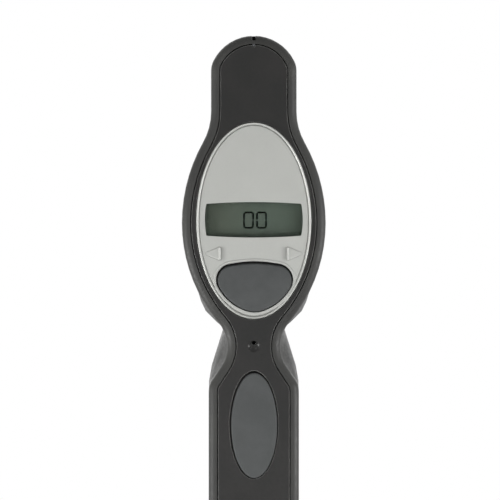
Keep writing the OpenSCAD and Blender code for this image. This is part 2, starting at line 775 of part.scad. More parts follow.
button_proud = 0.9;
button_dome = 1.6;
button_flange = 0.35;
button_flange_t = 0.8;
button_stem_r = 1.5;
module measurement_button() {
    crown_y = overlay_y - button_proud;
    flange_in_y = seat_y + gap;
    color("#58595a") union() {
        hull() {
            slab(crown_y + button_proud * 0.6, flange_in_y) button_shape(0);
            slab(crown_y + button_proud * 0.15, flange_in_y) button_shape(-button_dome * 0.3);
            slab(crown_y, flange_in_y) button_shape(-button_dome);
        }
        slab(flange_in_y - gap / 2, flange_in_y + button_flange_t) button_shape(button_flange);
        // Stem that presses the switch
        rod_y(button_stem_r, flange_in_y, plunger_y - button_travel - gap, 0, button_foot[1]);
    }
}

key_proud = 0.45;
key_flange = 0.25;
key_flange_t = 0.6;
key_stem_r = 0.8;
module selector_key() {
    flange_in_y = seat_y + gap;
    color("#b3b4b1") union() {
        hull() {
            slab(overlay_y, flange_in_y) key_shape(0);
            slab(overlay_y - key_proud, flange_in_y) key_shape(-key_round * 0.9);
        }
        slab(flange_in_y - gap / 2, flange_in_y + key_flange_t) key_shape(key_flange);
        rod_y(key_stem_r, flange_in_y, plunger_y - key_travel - gap, key_stem_x, key_z, 24);
    }
}
module selector_key_right() { selector_key(); }
module selector_key_left() { mirror([1, 0, 0]) selector_key(); }

grip_proud = 0.42;
grip_dome = 1.4;
module grip_pad() {
    color("#58595a") oval_stack(grip_w / 2, grip_h / 2, [[0, back_y + grip_depth],
        [0, back_y + grip_proud * 0.3], [grip_dome * 0.1, back_y - grip_proud * 0.35],
        [grip_dome * 0.36, back_y - grip_proud * 0.76], [grip_dome, back_y - grip_proud]], 48, grip_z);
}

// A piece turned about the probe's axis; its profile holds [radius, y]
module turned(profile) {
    translate([0, 0, probe_z]) rotate([-90, 0, 0]) rotate_extrude($fn = 96) polygon(profile);
}

nose_edge = 0.5;
module nose_housing() {
    step_y = nose_seat_y - nose_edge;
    shoulder_y = bobbin_y1 + gap;
    color("#3a3a39") turned([
        [bore_r, barrel_y], [barrel_r, barrel_y], [barrel_r, step_y], [nose_r, step_y],
        [nose_r, flange_y + gap / 2], [flange_r, flange_y + gap / 2],
        [flange_r, flange_y + flange_t + gap / 2], [nose_r, flange_y + flange_t + gap / 2],
        [nose_r, cone_y], [nose_r - nose_edge, cone_y + 2 * nose_edge],
        [collar_r + nose_edge / 2, neck_y - nose_edge], [collar_r - nose_edge / 2, neck_y],
        [neck_r, neck_y], [neck_r, neck_end],
        [base_r + slip, neck_end], [base_r + slip, shoulder_y], [bore_r, shoulder_y]]);
}

throat_gap = 0.25;
throat_l = 8;
module probe_base() {
    throat_r = tip_r + throat_gap;
    cap_y = base_end + base_cap_t;
    color("#d9dadb") turned([
        [wire_r + slip, base_back], [base_r, base_back], [base_r, neck_end + gap],
        [base_flange_r, neck_end + gap], [base_flange_r, base_end],
        [base_flange_r - base_flange_t, cap_y], [throat_r + base_cap_t, cap_y],
        [throat_r, base_end], [throat_r, collar_tip - throat_l],
        [wire_r + slip, collar_tip - throat_l - nose_edge]]);
}

collar_ribs = 30;
rib_r = 0.35;
rib_in = 0.05;
rib_l = 4.3;
collar_edge = 0.5;
mouth_r = 2.7;
mouth_l = 0.6;
nose_round = 2.2;
module collar() {
    y0 = neck_y + gap;
    y1 = y0 + rib_l + 2 * collar_edge;
    inner_r = neck_r + slip;
    seat = base_end + base_cap_t + gap;
    color("#b8bab9") union() {
        turned([
            [inner_r, y0], [collar_r - collar_edge, y0], [collar_r, y0 + collar_edge], [collar_r, y1],
            [collar_r - collar_edge, y1 + collar_edge], [collar_r - collar_edge, y1 + 2 * collar_edge],
            [collar_r - collar_edge / 2, y1 + 2.5 * collar_edge],
            [collar_r - nose_round * 0.6, collar_tip - nose_round * 0.4],
            [collar_r - nose_round, collar_tip], [mouth_r + mouth_l, collar_tip],
            [mouth_r, collar_tip - mouth_l], [mouth_r, seat],
            [base_flange_r + slip, seat], [base_flange_r + slip, neck_end + gap],
            [inner_r, neck_end + gap]]);
        translate([0, 0, probe_z]) for (i = [0:collar_ribs - 1]) rotate([0, 360 * i / collar_ribs, 0])
            rod_y(rib_r, y0 + collar_edge, y0 + collar_edge + rib_l, collar_r - rib_in, 0, 13);
    }
}

probe_out = 3;
tip_l = 4.6;
module probe() {
    front = collar_tip + probe_out;
    head_y = front - tip_l;
    color("#c9ccd0") union() {
        turned([[0, front - probe_l], [wire_r, front - probe_l], [wire_r, head_y + wire_r],
            [0, head_y + wire_r]]);
        turned(concat([[0, head_y], [tip_r * 0.7, head_y], [tip_r, head_y + tip_r]],
            [for (a = [0:15:90]) [tip_r * cos(a), front - tip_r + tip_r * sin(a)]]));
    }
}

bobbin_mid_y = (bobbin_y0 + bobbin_y1) / 2;
module coil_bobbin() {
    f = bobbin_flange_t;
    color("#e6e2d6") turned([
        [bobbin_inner_r, bobbin_y0], [coil_r, bobbin_y0], [coil_r, bobbin_y0 + f],
        [bobbin_r, bobbin_y0 + f], [bobbin_r, bobbin_mid_y - f / 2], [coil_r, bobbin_mid_y - f / 2],
        [coil_r, bobbin_mid_y + f / 2], [bobbin_r, bobbin_mid_y + f / 2],
        [bobbin_r, bobbin_y1 - f], [coil_r, bobbin_y1 - f], [coil_r, bobbin_y1],
        [bobbin_inner_r, bobbin_y1]]);
}
module winding(y0, y1) {
    r = coil_r - winding_in;
    color("#a5602c") turned([[bobbin_r, y0], [r, y0], [r, y1], [bobbin_r, y1]]);
}
module sensing_coil() { winding(bobbin_y0 + bobbin_flange_t, bobbin_mid_y - bobbin_flange_t / 2); }
module drive_coil() { winding(bobbin_mid_y + bobbin_flange_t / 2, bobbin_y1 - bobbin_flange_t); }

// Involute pinion in 2D, a tooth pointing along +Y
pressure = 25;
base_circle_r = pitch_r * cos(pressure);
function inv_point(t) =
    base_circle_r * [sin(t) - t * PI / 180 * cos(t), cos(t) + t * PI / 180 * sin(t)];
function inv_t(r) = sqrt(max(0, pow(r / base_circle_r, 2) - 1)) * 180 / PI;
function spin(p, a) = [p[0] * cos(a) - p[1] * sin(a), p[0] * sin(a) + p[1] * cos(a)];
pinion_tip_r = pitch_r + addendum;
pinion_root_r = pitch_r - dedendum;
half_tooth_a = 90 / pinion_n - backlash / pitch_r * 180 / PI / 2;
pitch_skew = atan2(inv_point(inv_t(pitch_r))[0], inv_point(inv_t(pitch_r))[1]);
flank_steps = 4;
// The left flank from root to tip, then its mirror image down the right
function flank() = [for (i = [0:flank_steps])
    let (r = base_circle_r + (pinion_tip_r - base_circle_r) * i / flank_steps)
    spin(inv_point(inv_t(r)), pitch_skew + half_tooth_a)];
function tooth() = let (f = flank(), low = spin([0, pinion_root_r], atan2(-f[0][0], f[0][1])))
    concat([low], f, [for (i = [flank_steps:-1:0]) [-f[i][0], f[i][1]]], [[-low[0], low[1]]]);
module pinion_shape() {
    polygon([for (k = [0:pinion_n - 1]) each [for (p = tooth()) spin(p, -360 * k / pinion_n)]]);
}

// Rack in y and z, with a tooth gap over the wheel's axis at rest
rack_end = 1;
rack_front = 1.6 * tooth_pitch;
function rack_tooth(c) = let (w = tooth_pitch / 4 - backlash / 2, t = tan(pressure))
    [[c - w - dedendum * t, bar_z0], [c - w + addendum * t, rack_z - addendum],
     [c + w - addendum * t, rack_z - addendum], [c + w + dedendum * t, bar_z0]];
module rest_bar() {
    n0 = ceil((bar_back + rack_end - wheel_y) / tooth_pitch - 0.5);
    n1 = floor(rack_front / tooth_pitch - 0.5);
    teeth = [for (i = [n0:n1]) each rack_tooth(wheel_y + (i + 0.5) * tooth_pitch)];
    color("#bfc1c2") union() {
        side_slab(-bar_w / 2, bar_w / 2) polygon(concat([[bar_back, bar_z1], [bar_back, bar_z0]],
            teeth, [[bar_front, bar_z0], [bar_front, bar_z1]]));
        // Tenon that the pad is moulded onto
        block(-bar_w / 2 + tenon_in, bar_w / 2 - tenon_in, bar_front - over, bar_front + tenon_l,
            bar_z0 + tenon_in, bar_z1 - tenon_in);
    }
}

pad_t = 6;
pad_drop = 2.6;
pad_in = 0.6;
pad_round = 1.5;
pad_edge = 1.2;
pad_fit = 0.02;
brow_r = 28;
brow_d = 0.8;
pad_y = top_front + gap;
pad_z0 = wheel_z - pad_drop;
module pad_layer(d, y0, y1) {
    slab(y0, y1) offset(r = pad_round, $fn = 24) offset(delta = -pad_round - d)
        polygon(inset_outline(pad_in, pad_z0));
}
module forehead_pad() {
    face_y = pad_y + pad_t;
    color("#6f7273") difference() {
        hull() {
            pad_layer(pad_edge * 0.7, pad_y, face_y - pad_edge);
            pad_layer(0, pad_y + pad_edge, face_y - 1.7 * pad_edge);
            pad_layer(pad_edge * 0.3, pad_y + pad_edge, face_y - pad_edge);
            pad_layer(pad_edge * 1.7, pad_y + pad_edge, face_y);
        }
        // Hollow that a brow rests in
        translate([0, face_y + brow_r - brow_d, pad_z0 - over])
            cylinder(r = brow_r, h = total_h - pad_z0, $fn = 240);
        block(-bar_w / 2 - pad_fit, bar_w / 2 + pad_fit, pad_y - over, bar_front + pad_fit,
            bar_z0 - pad_fit, bar_z1 + pad_fit);
        block(-bar_w / 2 + tenon_in - pad_fit, bar_w / 2 - tenon_in + pad_fit, pad_y,
            bar_front + tenon_l + pad_fit, bar_z0 + tenon_in - pad_fit, bar_z1 - tenon_in + pad_fit);
    }
}

// The guide stands in the top between two feet that reach the shells
guide_side = 0.9;
guide_l = 18;
guide_cover = 1.1;
guide_cut = [2.3, 4.1];
guide_well = 2;
guide_foot_l = 2;
guide_top_gap = 9;
pinion_slack = 0.4;
module rest_guide() {
    x = half_top - wall - guide_side;
    y0 = wheel_y - guide_l / 2;
    y1 = wheel_y + guide_l / 2;
    z0 = wheel_z - pinion_tip_r - guide_well;
    z1 = bar_z1 + guide_cover;
    foot_x = half_top - wall - gap;
    color("#8c8f91") difference() {
        union() {
            slab(y0, y1) polygon([[-x, z0], [x, z0], [x, z1 - guide_cut[1]], [x - guide_cut[0], z1],
                [-x + guide_cut[0], z1], [-x, z1 - guide_cut[1]]]);
            for (y = [y0 - guide_foot_l, y1])
                block(-foot_x, foot_x, y, y + guide_foot_l, z0, total_h - wall - guide_top_gap);
        }
        // Channel of the bar, well of the pinion and bore of the shaft
        block(-bar_w / 2 - slip, bar_w / 2 + slip, y0 - guide_foot_l - over, y1 + guide_foot_l + over,
            rack_z - addendum - slip, bar_z1 + slip);
        rod_x(pinion_tip_r + pinion_slack, -bar_w / 2 - slip, bar_w / 2 + slip, wheel_y, wheel_z);
        rod_x(shaft_r + bearing_slip, -foot_x - over, foot_x + over, wheel_y, wheel_z);
    }
}

dial_in_gap = 0.2;
dial_step = 0.5;
dial_band = 1.2;
ridge_r = 0.45;
hub_l = 0.9;
arm_r = 1.5;
arm_d = 0.6;
dial_out = half_top - dial_in_gap;
dial_in = dial_out - dial_t;
module dial() {
    difference() {
        union() {
            rod_x(dial_r - ridge_r, dial_in, dial_out - dial_step, wheel_y, wheel_z, 96);
            rod_x(dial_r - ridge_r - dial_band, dial_in, dial_out, wheel_y, wheel_z, 96);
            translate([0, wheel_y, wheel_z]) for (i = [0:dial_n - 1])
                rotate([360 * (i + 0.5) / dial_n, 0, 0])
                    rod_x(ridge_r, dial_in + dial_step / 2, dial_out - dial_step / 2, 0,
                        dial_r - ridge_r, 13);
        }
        // Three dimples that a fingertip catches
        translate([0, wheel_y, wheel_z]) for (i = [0:2]) rotate([120 * i, 0, 0])
            rod_x(arm_r, dial_out - arm_d, dial_out + over, 0, dial_r / 2, 32);
    }
}
module adjusting_wheel() {
    color("#4a4b4c") union() {
        mirror([1, 0, 0]) dial();
        rod_x(shaft_r, -dial_in - arm_d, dial_in + hub_l, wheel_y, wheel_z);
        side_slab(-bar_w / 2, bar_w / 2) translate([wheel_y, wheel_z]) pinion_shape();
    }
}
module wheel_dial() {
    color("#4a4b4c") difference() {
        dial();
        rod_x(shaft_r, dial_in - over, dial_in + hub_l, wheel_y, wheel_z);
    }
}

tray_gap = 0.1;
tray_floor_gap = 0.15;
rib_half = 0.4;
rib_h = 3;
notch_half = 4;
module battery_tray() {
    x0 = -half_handle + wall + tray_gap;
    x1 = cell_r + cell_slack;
    floor_x = -cell_r - tray_floor_gap;
    in_y = tray_half_y - tray_wall;
    color("#2b2d30") difference() {
        union() {
            difference() {
                block(x0, x1, -tray_half_y, tray_half_y, tray_z0, tray_z1);
                block(floor_x, x1 + over, -in_y, in_y, tray_z0 + tray_wall, tray_z1 - tray_wall);
            }
            // Rib between the two rows of cells
            block(x0, floor_x + rib_h, -rib_half, rib_half, tray_z0 + tray_wall + contact_t + gap,
                tray_z1 - tray_wall / 2);
        }
        // Notch for the finger that lifts a cell out
        block(0, x1 + over, -cell_y - notch_half, -cell_y + notch_half, tray_z1 - tray_wall - over,
            tray_z1 + over);
    }
}

peg_in = 0.6;
peg_half = [0.6, 3];
peg_shares = [0.12, 0.5, 0.88];
door_groove = [0.35, 8, 0.9];
door_grooves = 6;
door_groove_pitch = 2.2;
door_groove_rise = 7;
module battery_door() {
    color("#3c3c3b") difference() {
        union() {
            side_slab(door_x0, door_x) door_outline(0);
            // Pegs that stand inside the opening and keep the door in line
            for (s = [-1, 1], t = peg_shares) translate([0, s * (door_open_y - peg_half[0] - cell_slack),
                door_z0 + (door_z1 - door_z0) * t])
                block(door_x0 - peg_in, door_x0 + over / 2, -peg_half[0], peg_half[0],
                    -peg_half[1], peg_half[1]);
        }
        rod_x(lock_r + slip, door_x - lock_head_t, door_x + over, 0, lock_z);
        rod_x(lock_shank_r + slip, door_x0 - over, door_x, 0, lock_z);
        // Finger grooves near the foot
        for (i = [0:door_grooves - 1]) translate([0, 0, door_z0 + door_groove_rise + i * door_groove_pitch])
            block(door_x - door_groove[0], door_x + over, -door_groove[1], door_groove[1],
                0, door_groove[2]);
    }
}

lock_sink = 0.1;
coin_slot = [0.5, 0.7];
module door_lock() {
    top_x = door_x - lock_sink;
    color("#8f9294") difference() {
        union() {
            rod_x(lock_r, door_x - lock_head_t + gap / 2, top_x, 0, lock_z, 64);
            rod_x(lock_shank_r, lock_shank_x, top_x - coin_slot[0], 0, lock_z, 48);
        }
        block(top_x - coin_slot[0], top_x + over, -coin_slot[1], coin_slot[1],
            lock_z - lock_r - over, lock_z + lock_r + over);
    }
}

// Cells stand on end in two columns, the front one nub up and the back one nub down
lower_first = tray_z0 + tray_wall + contact_t + spring_l + contact_slack;
upper_first = tray_z0 + tray_wall + contact_t + dimple_h + contact_slack;
cell_pitch = cell_l + nub_l + contact_slack;
nub_r = 2.7;
module cell(y, z, nub_up) {
    color("#b08d3c") translate([0, y, z]) {
        translate([0, 0, nub_up ? 0 : nub_l]) cylinder(r = cell_r, h = cell_l, $fn = 64);
        translate([0, 0, nub_up ? cell_l - over : 0]) cylinder(r = nub_r, h = nub_l + over, $fn = 48);
    }
}
module aa_cell_1() { cell(cell_y, lower_first, true); }
module aa_cell_2() { cell(cell_y, lower_first + cell_pitch, true); }
module aa_cell_3() { cell(-cell_y, upper_first, false); }
module aa_cell_4() { cell(-cell_y, upper_first + cell_pitch, false); }

// A cone spring swept along its wire, with flat ends
spring_sides = 6;
spring_steps = 8;
spring_foot_share = 0.72;
spring_cone_share = 0.3;
spring_flat_share = 0.09;
function spring_at(t) = let (r = cell_r * (spring_foot_share - spring_cone_share * t),
    a = 360 * t * spring_turns,
    rise = max(0, min(1, (t - spring_flat_share) / (1 - 2 * spring_flat_share))))
    [r * cos(a), r * sin(a), spring_wire_r + (spring_l - 2 * spring_wire_r) * rise];
function unit(v) = v / norm(v);
module spring(y, z, up) {
    n = spring_turns * spring_steps;
    s = spring_sides;
    ring = function (i) let (c = spring_at(i / n),
        d = unit(spring_at(min(1, (i + 0.5) / n)) - spring_at(max(0, (i - 0.5) / n))),
        out = unit(cross(d, [0, 0, 1])), side = cross(out, d))
        [for (k = [0:s - 1]) c + spring_wire_r * (cos(360 * k / s) * out + sin(360 * k / s) * side)];
    faces = concat([[for (k = [s - 1:-1:0]) k]],
        [for (i = [0:n - 1], k = [0:s - 1]) let (j = (k + 1) % s) each
            [[i * s + k, i * s + j, (i + 1) * s + j], [i * s + k, (i + 1) * s + j, (i + 1) * s + k]]],
        [[for (k = [0:s - 1]) n * s + k]]);
    color("#c8c9c6") translate([0, y, z]) rotate([up ? 0 : 180, 0, 0])
        polyhedron([for (i = [0:n]) each ring(i)], faces);
}
module lower_spring() { spring(cell_y, tray_z0 + tray_wall + contact_t, true); }
module upper_spring() { spring(-cell_y, tray_z1 - tray_wall - contact_t, false); }

contact_half = 5;
module contact_plate(y0, y1, z) {
    block(-contact_half, contact_half, y0, y1, z, z + contact_t);
}
module bridge_contact() {
    z = tray_z0 + tray_wall;
    color("#c8c9c6") union() {
        contact_plate(-cell_y - contact_half, cell_y + contact_half, z);
        translate([0, -cell_y, z]) cylinder(r = dimple_r, h = contact_t + dimple_h, $fn = 48);
    }
}
module plus_contact() {
    z = tray_z1 - tray_wall - contact_t;
    color("#c8c9c6") union() {
        contact_plate(cell_y - contact_half, cell_y + contact_half, z);
        translate([0, cell_y, z - dimple_h]) cylinder(r = dimple_r, h = contact_t + dimple_h, $fn = 48);
    }
}
module minus_contact() {
    color("#c8c9c6") contact_plate(-cell_y - contact_half, -cell_y + contact_half,
        tray_z1 - tray_wall - contact_t);
}

driver_slot = [0.9, 0.35, 1.5];
module case_screws() {
    x0 = screw_head_x - screw_head_t;
    color("#9a9c9e") for (s = screw_places) difference() {
        union() {
            rod_x(screw_head_r, x0, screw_head_x, s[0], s[1]);
            rod_x(screw_r, screw_head_x - over, screw_end_x, s[0], s[1], 32);
        }
        translate([0, s[0], s[1]]) for (a = [0, 90]) rotate([a, 0, 0])
            block(x0 - over, x0 + driver_slot[0], -driver_slot[1], driver_slot[1],
                -driver_slot[2], driver_slot[2]);
    }
}

left_shell();
right_shell();
end_cap();
back_panel();
display_bezel();
keypad_overlay();
display_window();
lcd_glass();
lcd_holder();
measurement_button();
selector_key_left();
selector_key_right();
grip_pad();
circuit_board();
board_chips();
key_switches();
buzzer();
nose_housing();
collar();
probe_base();
probe();
coil_bobbin();
drive_coil();
sensing_coil();
rest_guide();
rest_bar();
forehead_pad();
adjusting_wheel();
wheel_dial();
battery_tray();
battery_door();
door_lock();
aa_cell_1();
aa_cell_2();
aa_cell_3();
aa_cell_4();
bridge_contact();
plus_contact();
minus_contact();
lower_spring();
upper_spring();
case_screws();
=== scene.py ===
"""Looks of the hand-held rebound tonometer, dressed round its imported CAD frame. Lengths are in metres."""
import math

import bmesh
import bpy
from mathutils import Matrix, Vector


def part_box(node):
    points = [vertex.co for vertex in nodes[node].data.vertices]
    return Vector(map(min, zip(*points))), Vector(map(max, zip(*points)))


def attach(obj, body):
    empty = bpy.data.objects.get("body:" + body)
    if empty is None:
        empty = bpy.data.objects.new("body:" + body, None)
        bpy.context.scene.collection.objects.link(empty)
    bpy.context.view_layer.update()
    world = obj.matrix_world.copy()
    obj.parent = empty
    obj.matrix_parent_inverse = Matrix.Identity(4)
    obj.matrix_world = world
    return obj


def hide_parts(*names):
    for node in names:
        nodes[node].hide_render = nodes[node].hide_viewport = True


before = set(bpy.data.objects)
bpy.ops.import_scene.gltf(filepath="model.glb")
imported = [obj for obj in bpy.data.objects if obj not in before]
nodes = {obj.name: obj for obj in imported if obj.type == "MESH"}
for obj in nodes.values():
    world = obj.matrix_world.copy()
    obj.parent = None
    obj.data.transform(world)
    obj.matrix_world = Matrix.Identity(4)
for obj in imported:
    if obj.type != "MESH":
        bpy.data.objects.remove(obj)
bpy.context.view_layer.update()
scene = bpy.context.scene
MM = 0.001

# The photograph's frame: its size, what a pixel is at the panel's depth, and where the axis and the top lie
PHOTO_PIXELS = 500
PIXEL = 0.2213 * MM
AXIS_PIXEL = 253.8
TOP_PIXEL = 35.4
CAMERA_DISTANCE = 1100 * MM
SENSOR = 36.0

# Places that several pieces or materials share
PANEL_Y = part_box("back_panel")[0].y
TOP_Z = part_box("left_shell")[1].z
SOUND_HOLE_Z = TOP_Z - 68.75 * MM
KEY_LOW, KEY_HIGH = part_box("selector_key_right")
KEY_BASE_X = 7.2 * MM
KEY_Z = (KEY_LOW.z + KEY_HIGH.z) / 2


# Colours, given as sRGB levels from 0 to 255

def linear(level):
    """Linear value of an sRGB level from 0 to 255."""
    c = level / 255
    return c / 12.92 if c <= 0.04045 else ((c + 0.055) / 1.055) ** 2.4


def rgb(r, g=None, b=None):
    """Linear colour of an sRGB one, or of a grey."""
    return (linear(r), linear(r if g is None else g), linear(r if b is None else b), 1.0)


# What the materials share: ranges of noise, sizes of grain and lumps, depths and gloss

NOISE_SPAN = (0.3, 0.7)
CLOUD_SPAN = (0.35, 0.65)
EDGE_SPAN = (0.99, 0.8)
BEVEL_SAMPLES = 4
FINE_EDGE = 0.08 * MM
GLOSS = 0.25
PLASTIC_CLOUD = 9 * MM
PLASTIC_SHEEN = 0.7 * MM
PLASTIC_WEAR_AND_HIGHLIGHT = 2 * MM
PLASTIC_GRAIN = 0.16 * MM
SILVER_FLAKE = 0.09 * MM
SILVER_CLOUD = 6 * MM
SILVER_DEPTH = 0.004 * MM
FLAKE_SPAN = (0.1, 0.7)
FLAKE_SHARES = (0.7, 1.0)
FLAKE_SHEEN_SPAN = (0.0, 0.8)
RUBBER_EDGE = 0.1 * MM
RUBBER_CLOUD = 5 * MM
RUBBER_SHEEN = 1 * MM
RUBBER_ROUGH = (0.6, 0.75)
SHEEN_ROUGH = 0.5
TOOL_MARK = 0.5 * MM
TOOL_MARK_DEPTH = 0.003 * MM
MARK_SPAN = (0.25, 0.75)
MARK_SHEEN_SPAN = (0.2, 0.8)
WINDOW_IOR = 1.1
WINDOW_CLOUD = 3 * MM
WINDOW_ROUGH = (0.02, 0.06)
WINDOW_WAVE = 4 * MM
WINDOW_WAVE_DEPTH = 0.002 * MM
DISPLAY_GLOSS = 0.05
DISPLAY_CLOUD = 3 * MM
DISPLAY_SHEEN = 0.3 * MM
DISPLAY_ROUGH = (0.28, 0.4)
DISPLAY_GRAIN = 0.2 * MM
DISPLAY_DEPTH = 0.001 * MM
INK_CLOUD = 0.5 * MM
INK_ROUGH = 0.7
INK_LIGHTER = 1.25
BOARD_CLOUD = 1 * MM
BOARD_ROUGH = (0.25, 0.4)
BOARD_COAT = 0.4
BOARD_TRACK = 2.2 * MM
BOARD_TRACK_SHARE = 0.06
BOARD_TRACK_DEPTH = 0.02 * MM
WIRE = 0.14 * MM
WIRE_CLOUD = 1 * MM
WIRE_ROUGH = (0.25, 0.42)
WIRE_METAL = 0.9

# A polished spot, and the rim round it that shows no pale edge, neither wear nor painted highlight, as shares
# of the spot's reach

SPOT_SHARES = (1.0, 0.9)
RIM_SHARES = (1.2, 1.5)

# Painted shade on the film at the foot of the keys, and on the display towards its ends and foot

KEY_SHADE_INNER = (-1.4 * MM, -0.1 * MM)
KEY_SHADE_OUTER = (0.2 * MM, 0.05 * MM)
KEY_SHADE_ENDS = (2.0 * MM, 0.9 * MM)
KEY_SHADE = 0.42
KEY_SHADE_DIM = 0.4
LCD_END_SHARES = (0.66, 0.98)
LCD_END_SHADE = 0.85
LCD_WARM_SHARES = (0.1, -0.8)
LCD_FOOT_DROPS = (2.5 * MM, 5 * MM)
LCD_FOOT_SHADE = 0.7
LCD_CLOUD_SHADE = 0.25


# Shader nodes

class Paint:
    """A Principled material whose colour, roughness and normal come from procedural nodes."""

    def __init__(self, name, roughness=0.5, **plain):
        self.material = bpy.data.materials.new(name)
        self.material.use_nodes = True
        self.tree = self.material.node_tree
        self.shader = self.tree.nodes["Principled BSDF"]
        self.shader.inputs["Roughness"].default_value = roughness
        for key, value in plain.items():
            self.shader.inputs[key.replace("_", " ")].default_value = value
        self.normal = None
        self.place = self.node("ShaderNodeTexCoord").outputs["Object"]

    def node(self, kind, **settings):
        made = self.tree.nodes.new(kind)
        for key, value in settings.items():
            setattr(made, key, value)
        return made

    def link(self, source, target):
        self.tree.links.new(source, target)

    def noise(self, size, detail=3.0, stretch=None):
        """Noise whose lumps are about size metres across, perhaps stretched by a scale for each axis."""
        place = self.place
        if stretch:
            scaled = self.node("ShaderNodeVectorMath", operation="MULTIPLY")
            self.link(place, scaled.inputs[0])
            scaled.inputs[1].default_value = stretch
            place = scaled.outputs[0]
        made = self.node("ShaderNodeTexNoise")
        made.inputs["Scale"].default_value = 1 / size
        made.inputs["Detail"].default_value = detail
        self.link(place, made.inputs["Vector"])
        return made.outputs["Fac"]

    def cells(self, size):
        """Distance to the nearest of scattered points about size metres apart."""
        made = self.node("ShaderNodeTexVoronoi")
        made.inputs["Scale"].default_value = 1 / size
        self.link(self.place, made.inputs["Vector"])
        return made.outputs["Distance"]

    def ramp(self, value, low, high, to_low=0.0, to_high=1.0, kind="LINEAR"):
        """value between low and high, mapped to between to_low and to_high."""
        made = self.node("ShaderNodeMapRange", interpolation_type=kind)
        self.link(value, made.inputs["Value"])
        for key, number in (("From Min", low), ("From Max", high), ("To Min", to_low), ("To Max", to_high)):
            made.inputs[key].default_value = number
        return made.outputs["Result"]

    def uneven(self, size, to_low=0.0, to_high=1.0, detail=3.0):
        """A value that wanders between to_low and to_high in lumps about size metres across."""
        return self.ramp(self.noise(size, detail), *NOISE_SPAN, to_low, to_high)

    def maths(self, operation, *values):
        """Values put together; each is a socket or a number."""
        made = self.node("ShaderNodeMath", operation=operation)
        for socket, value in zip(made.inputs, values):
            if isinstance(value, (int, float)):
                socket.default_value = value
            else:
                self.link(value, socket)
        return made.outputs[0]

    def blend(self, share, a, b):
        """Colour between a and b by share; a and b are colours or sockets."""
        made = self.node("ShaderNodeMix", data_type="RGBA")
        self.link(share, made.inputs["Factor"])
        for socket, value in ((made.inputs["A"], a), (made.inputs["B"], b)):
            if isinstance(value, tuple):
                socket.default_value = value
            else:
                self.link(value, socket)
        return made.outputs["Result"]

    def split(self):
        """The object coordinates x, y and z."""
        made = self.node("ShaderNodeSeparateXYZ")
        self.link(self.place, made.inputs[0])
        return made.outputs

    def away(self, centre):
        """Distance from a place."""
        made = self.node("ShaderNodeVectorMath", operation="DISTANCE")
        self.link(self.place, made.inputs[0])
        made.inputs[1].default_value = centre
        return made.outputs["Value"]

    def rounded(self, radius):
        """Rounds the shading of sharp edges by radius, and returns where the edges are."""
        bevel = self.node("ShaderNodeBevel", samples=BEVEL_SAMPLES)
        bevel.inputs["Radius"].default_value = radius
        self.normal = bevel.outputs["Normal"]
        face = self.node("ShaderNodeNewGeometry")
        facing = self.node("ShaderNodeVectorMath", operation="DOT_PRODUCT")
        self.link(bevel.outputs["Normal"], facing.inputs[0])
        self.link(face.outputs["Normal"], facing.inputs[1])
        return self.ramp(facing.outputs["Value"], *EDGE_SPAN)

    def colour(self, socket):
        self.link(socket, self.shader.inputs["Base Color"])

    def rough(self, socket):
        self.link(socket, self.shader.inputs["Roughness"])

    def bump(self, height, depth):
        """Raises the surface by height times depth metres."""
        made = self.node("ShaderNodeBump")
        made.inputs["Distance"].default_value = depth
        self.link(height, made.inputs["Height"])
        if self.normal is not None:
            self.link(self.normal, made.inputs["Normal"])
        self.normal = made.outputs["Normal"]
        self.link(self.normal, self.shader.inputs["Normal"])

    def mix_surface(self, share, other):
        """Blends the surface towards another shader by share."""
        mixed = self.node("ShaderNodeMixShader")
        for k, socket in enumerate((share, self.shader.outputs[0], other.outputs[0])):
            self.link(socket, mixed.inputs[k])
        self.link(mixed.outputs[0], self.tree.nodes["Material Output"].inputs["Surface"])


def scaled_colour(colour, factor):
    """A colour with its red, green and blue times a factor."""
    return tuple(factor * c for c in colour[:3]) + (1.0,)


def moulded(name, dark, light, rough=(0.42, 0.58), depth=0.012 * MM, edge=0.15 * MM,
            wear_and_highlight=None, wear_and_highlight_span=(0.2, 0.7), polished=None):
    """Spark-eroded plastic: fine grain, uneven gloss, perhaps pale edges that are partly wear and partly a
    painted edge highlight, and a polished spot.
    """
    p = Paint(name, Specular_IOR_Level=GLOSS)
    edges = p.rounded(edge)
    base = p.blend(p.ramp(p.noise(PLASTIC_CLOUD), *CLOUD_SPAN), dark, light)
    matt = p.uneven(PLASTIC_SHEEN, *rough, 4)
    if polished is not None:
        centre, reach, level = polished
        far = p.away(centre)
        spot = p.ramp(far, *(share * reach for share in SPOT_SHARES))
        matt = p.maths("ADD", matt, p.maths("MULTIPLY", spot, level - sum(rough) / 2))
        edges = p.maths("MULTIPLY", edges, p.ramp(far, *(share * reach for share in RIM_SHARES)))
    p.rough(matt)
    # Pale edges: partly wear, partly a painted edge highlight
    if wear_and_highlight is not None:
        base = p.blend(p.maths("MULTIPLY", edges, p.uneven(PLASTIC_WEAR_AND_HIGHLIGHT, *wear_and_highlight_span)), base, wear_and_highlight)
    p.colour(base)
    p.bump(p.noise(PLASTIC_GRAIN, 2), depth)
    return p.material


def key_shade(p):
    """How dark the painted shade on the silver film is at the foot of the embossed keys."""
    x, _, z = p.split()
    out = p.maths("SUBTRACT", p.maths("ABSOLUTE", x), KEY_BASE_X)
    up = p.maths("ABSOLUTE", p.maths("SUBTRACT", z, KEY_Z))
    shade = p.ramp(out, *KEY_SHADE_INNER, kind="SMOOTHSTEP")
    for share in (p.ramp(out, *KEY_SHADE_OUTER), p.ramp(up, *KEY_SHADE_ENDS, kind="SMOOTHSTEP"), KEY_SHADE):
        shade = p.maths("MULTIPLY", shade, share)
    return shade


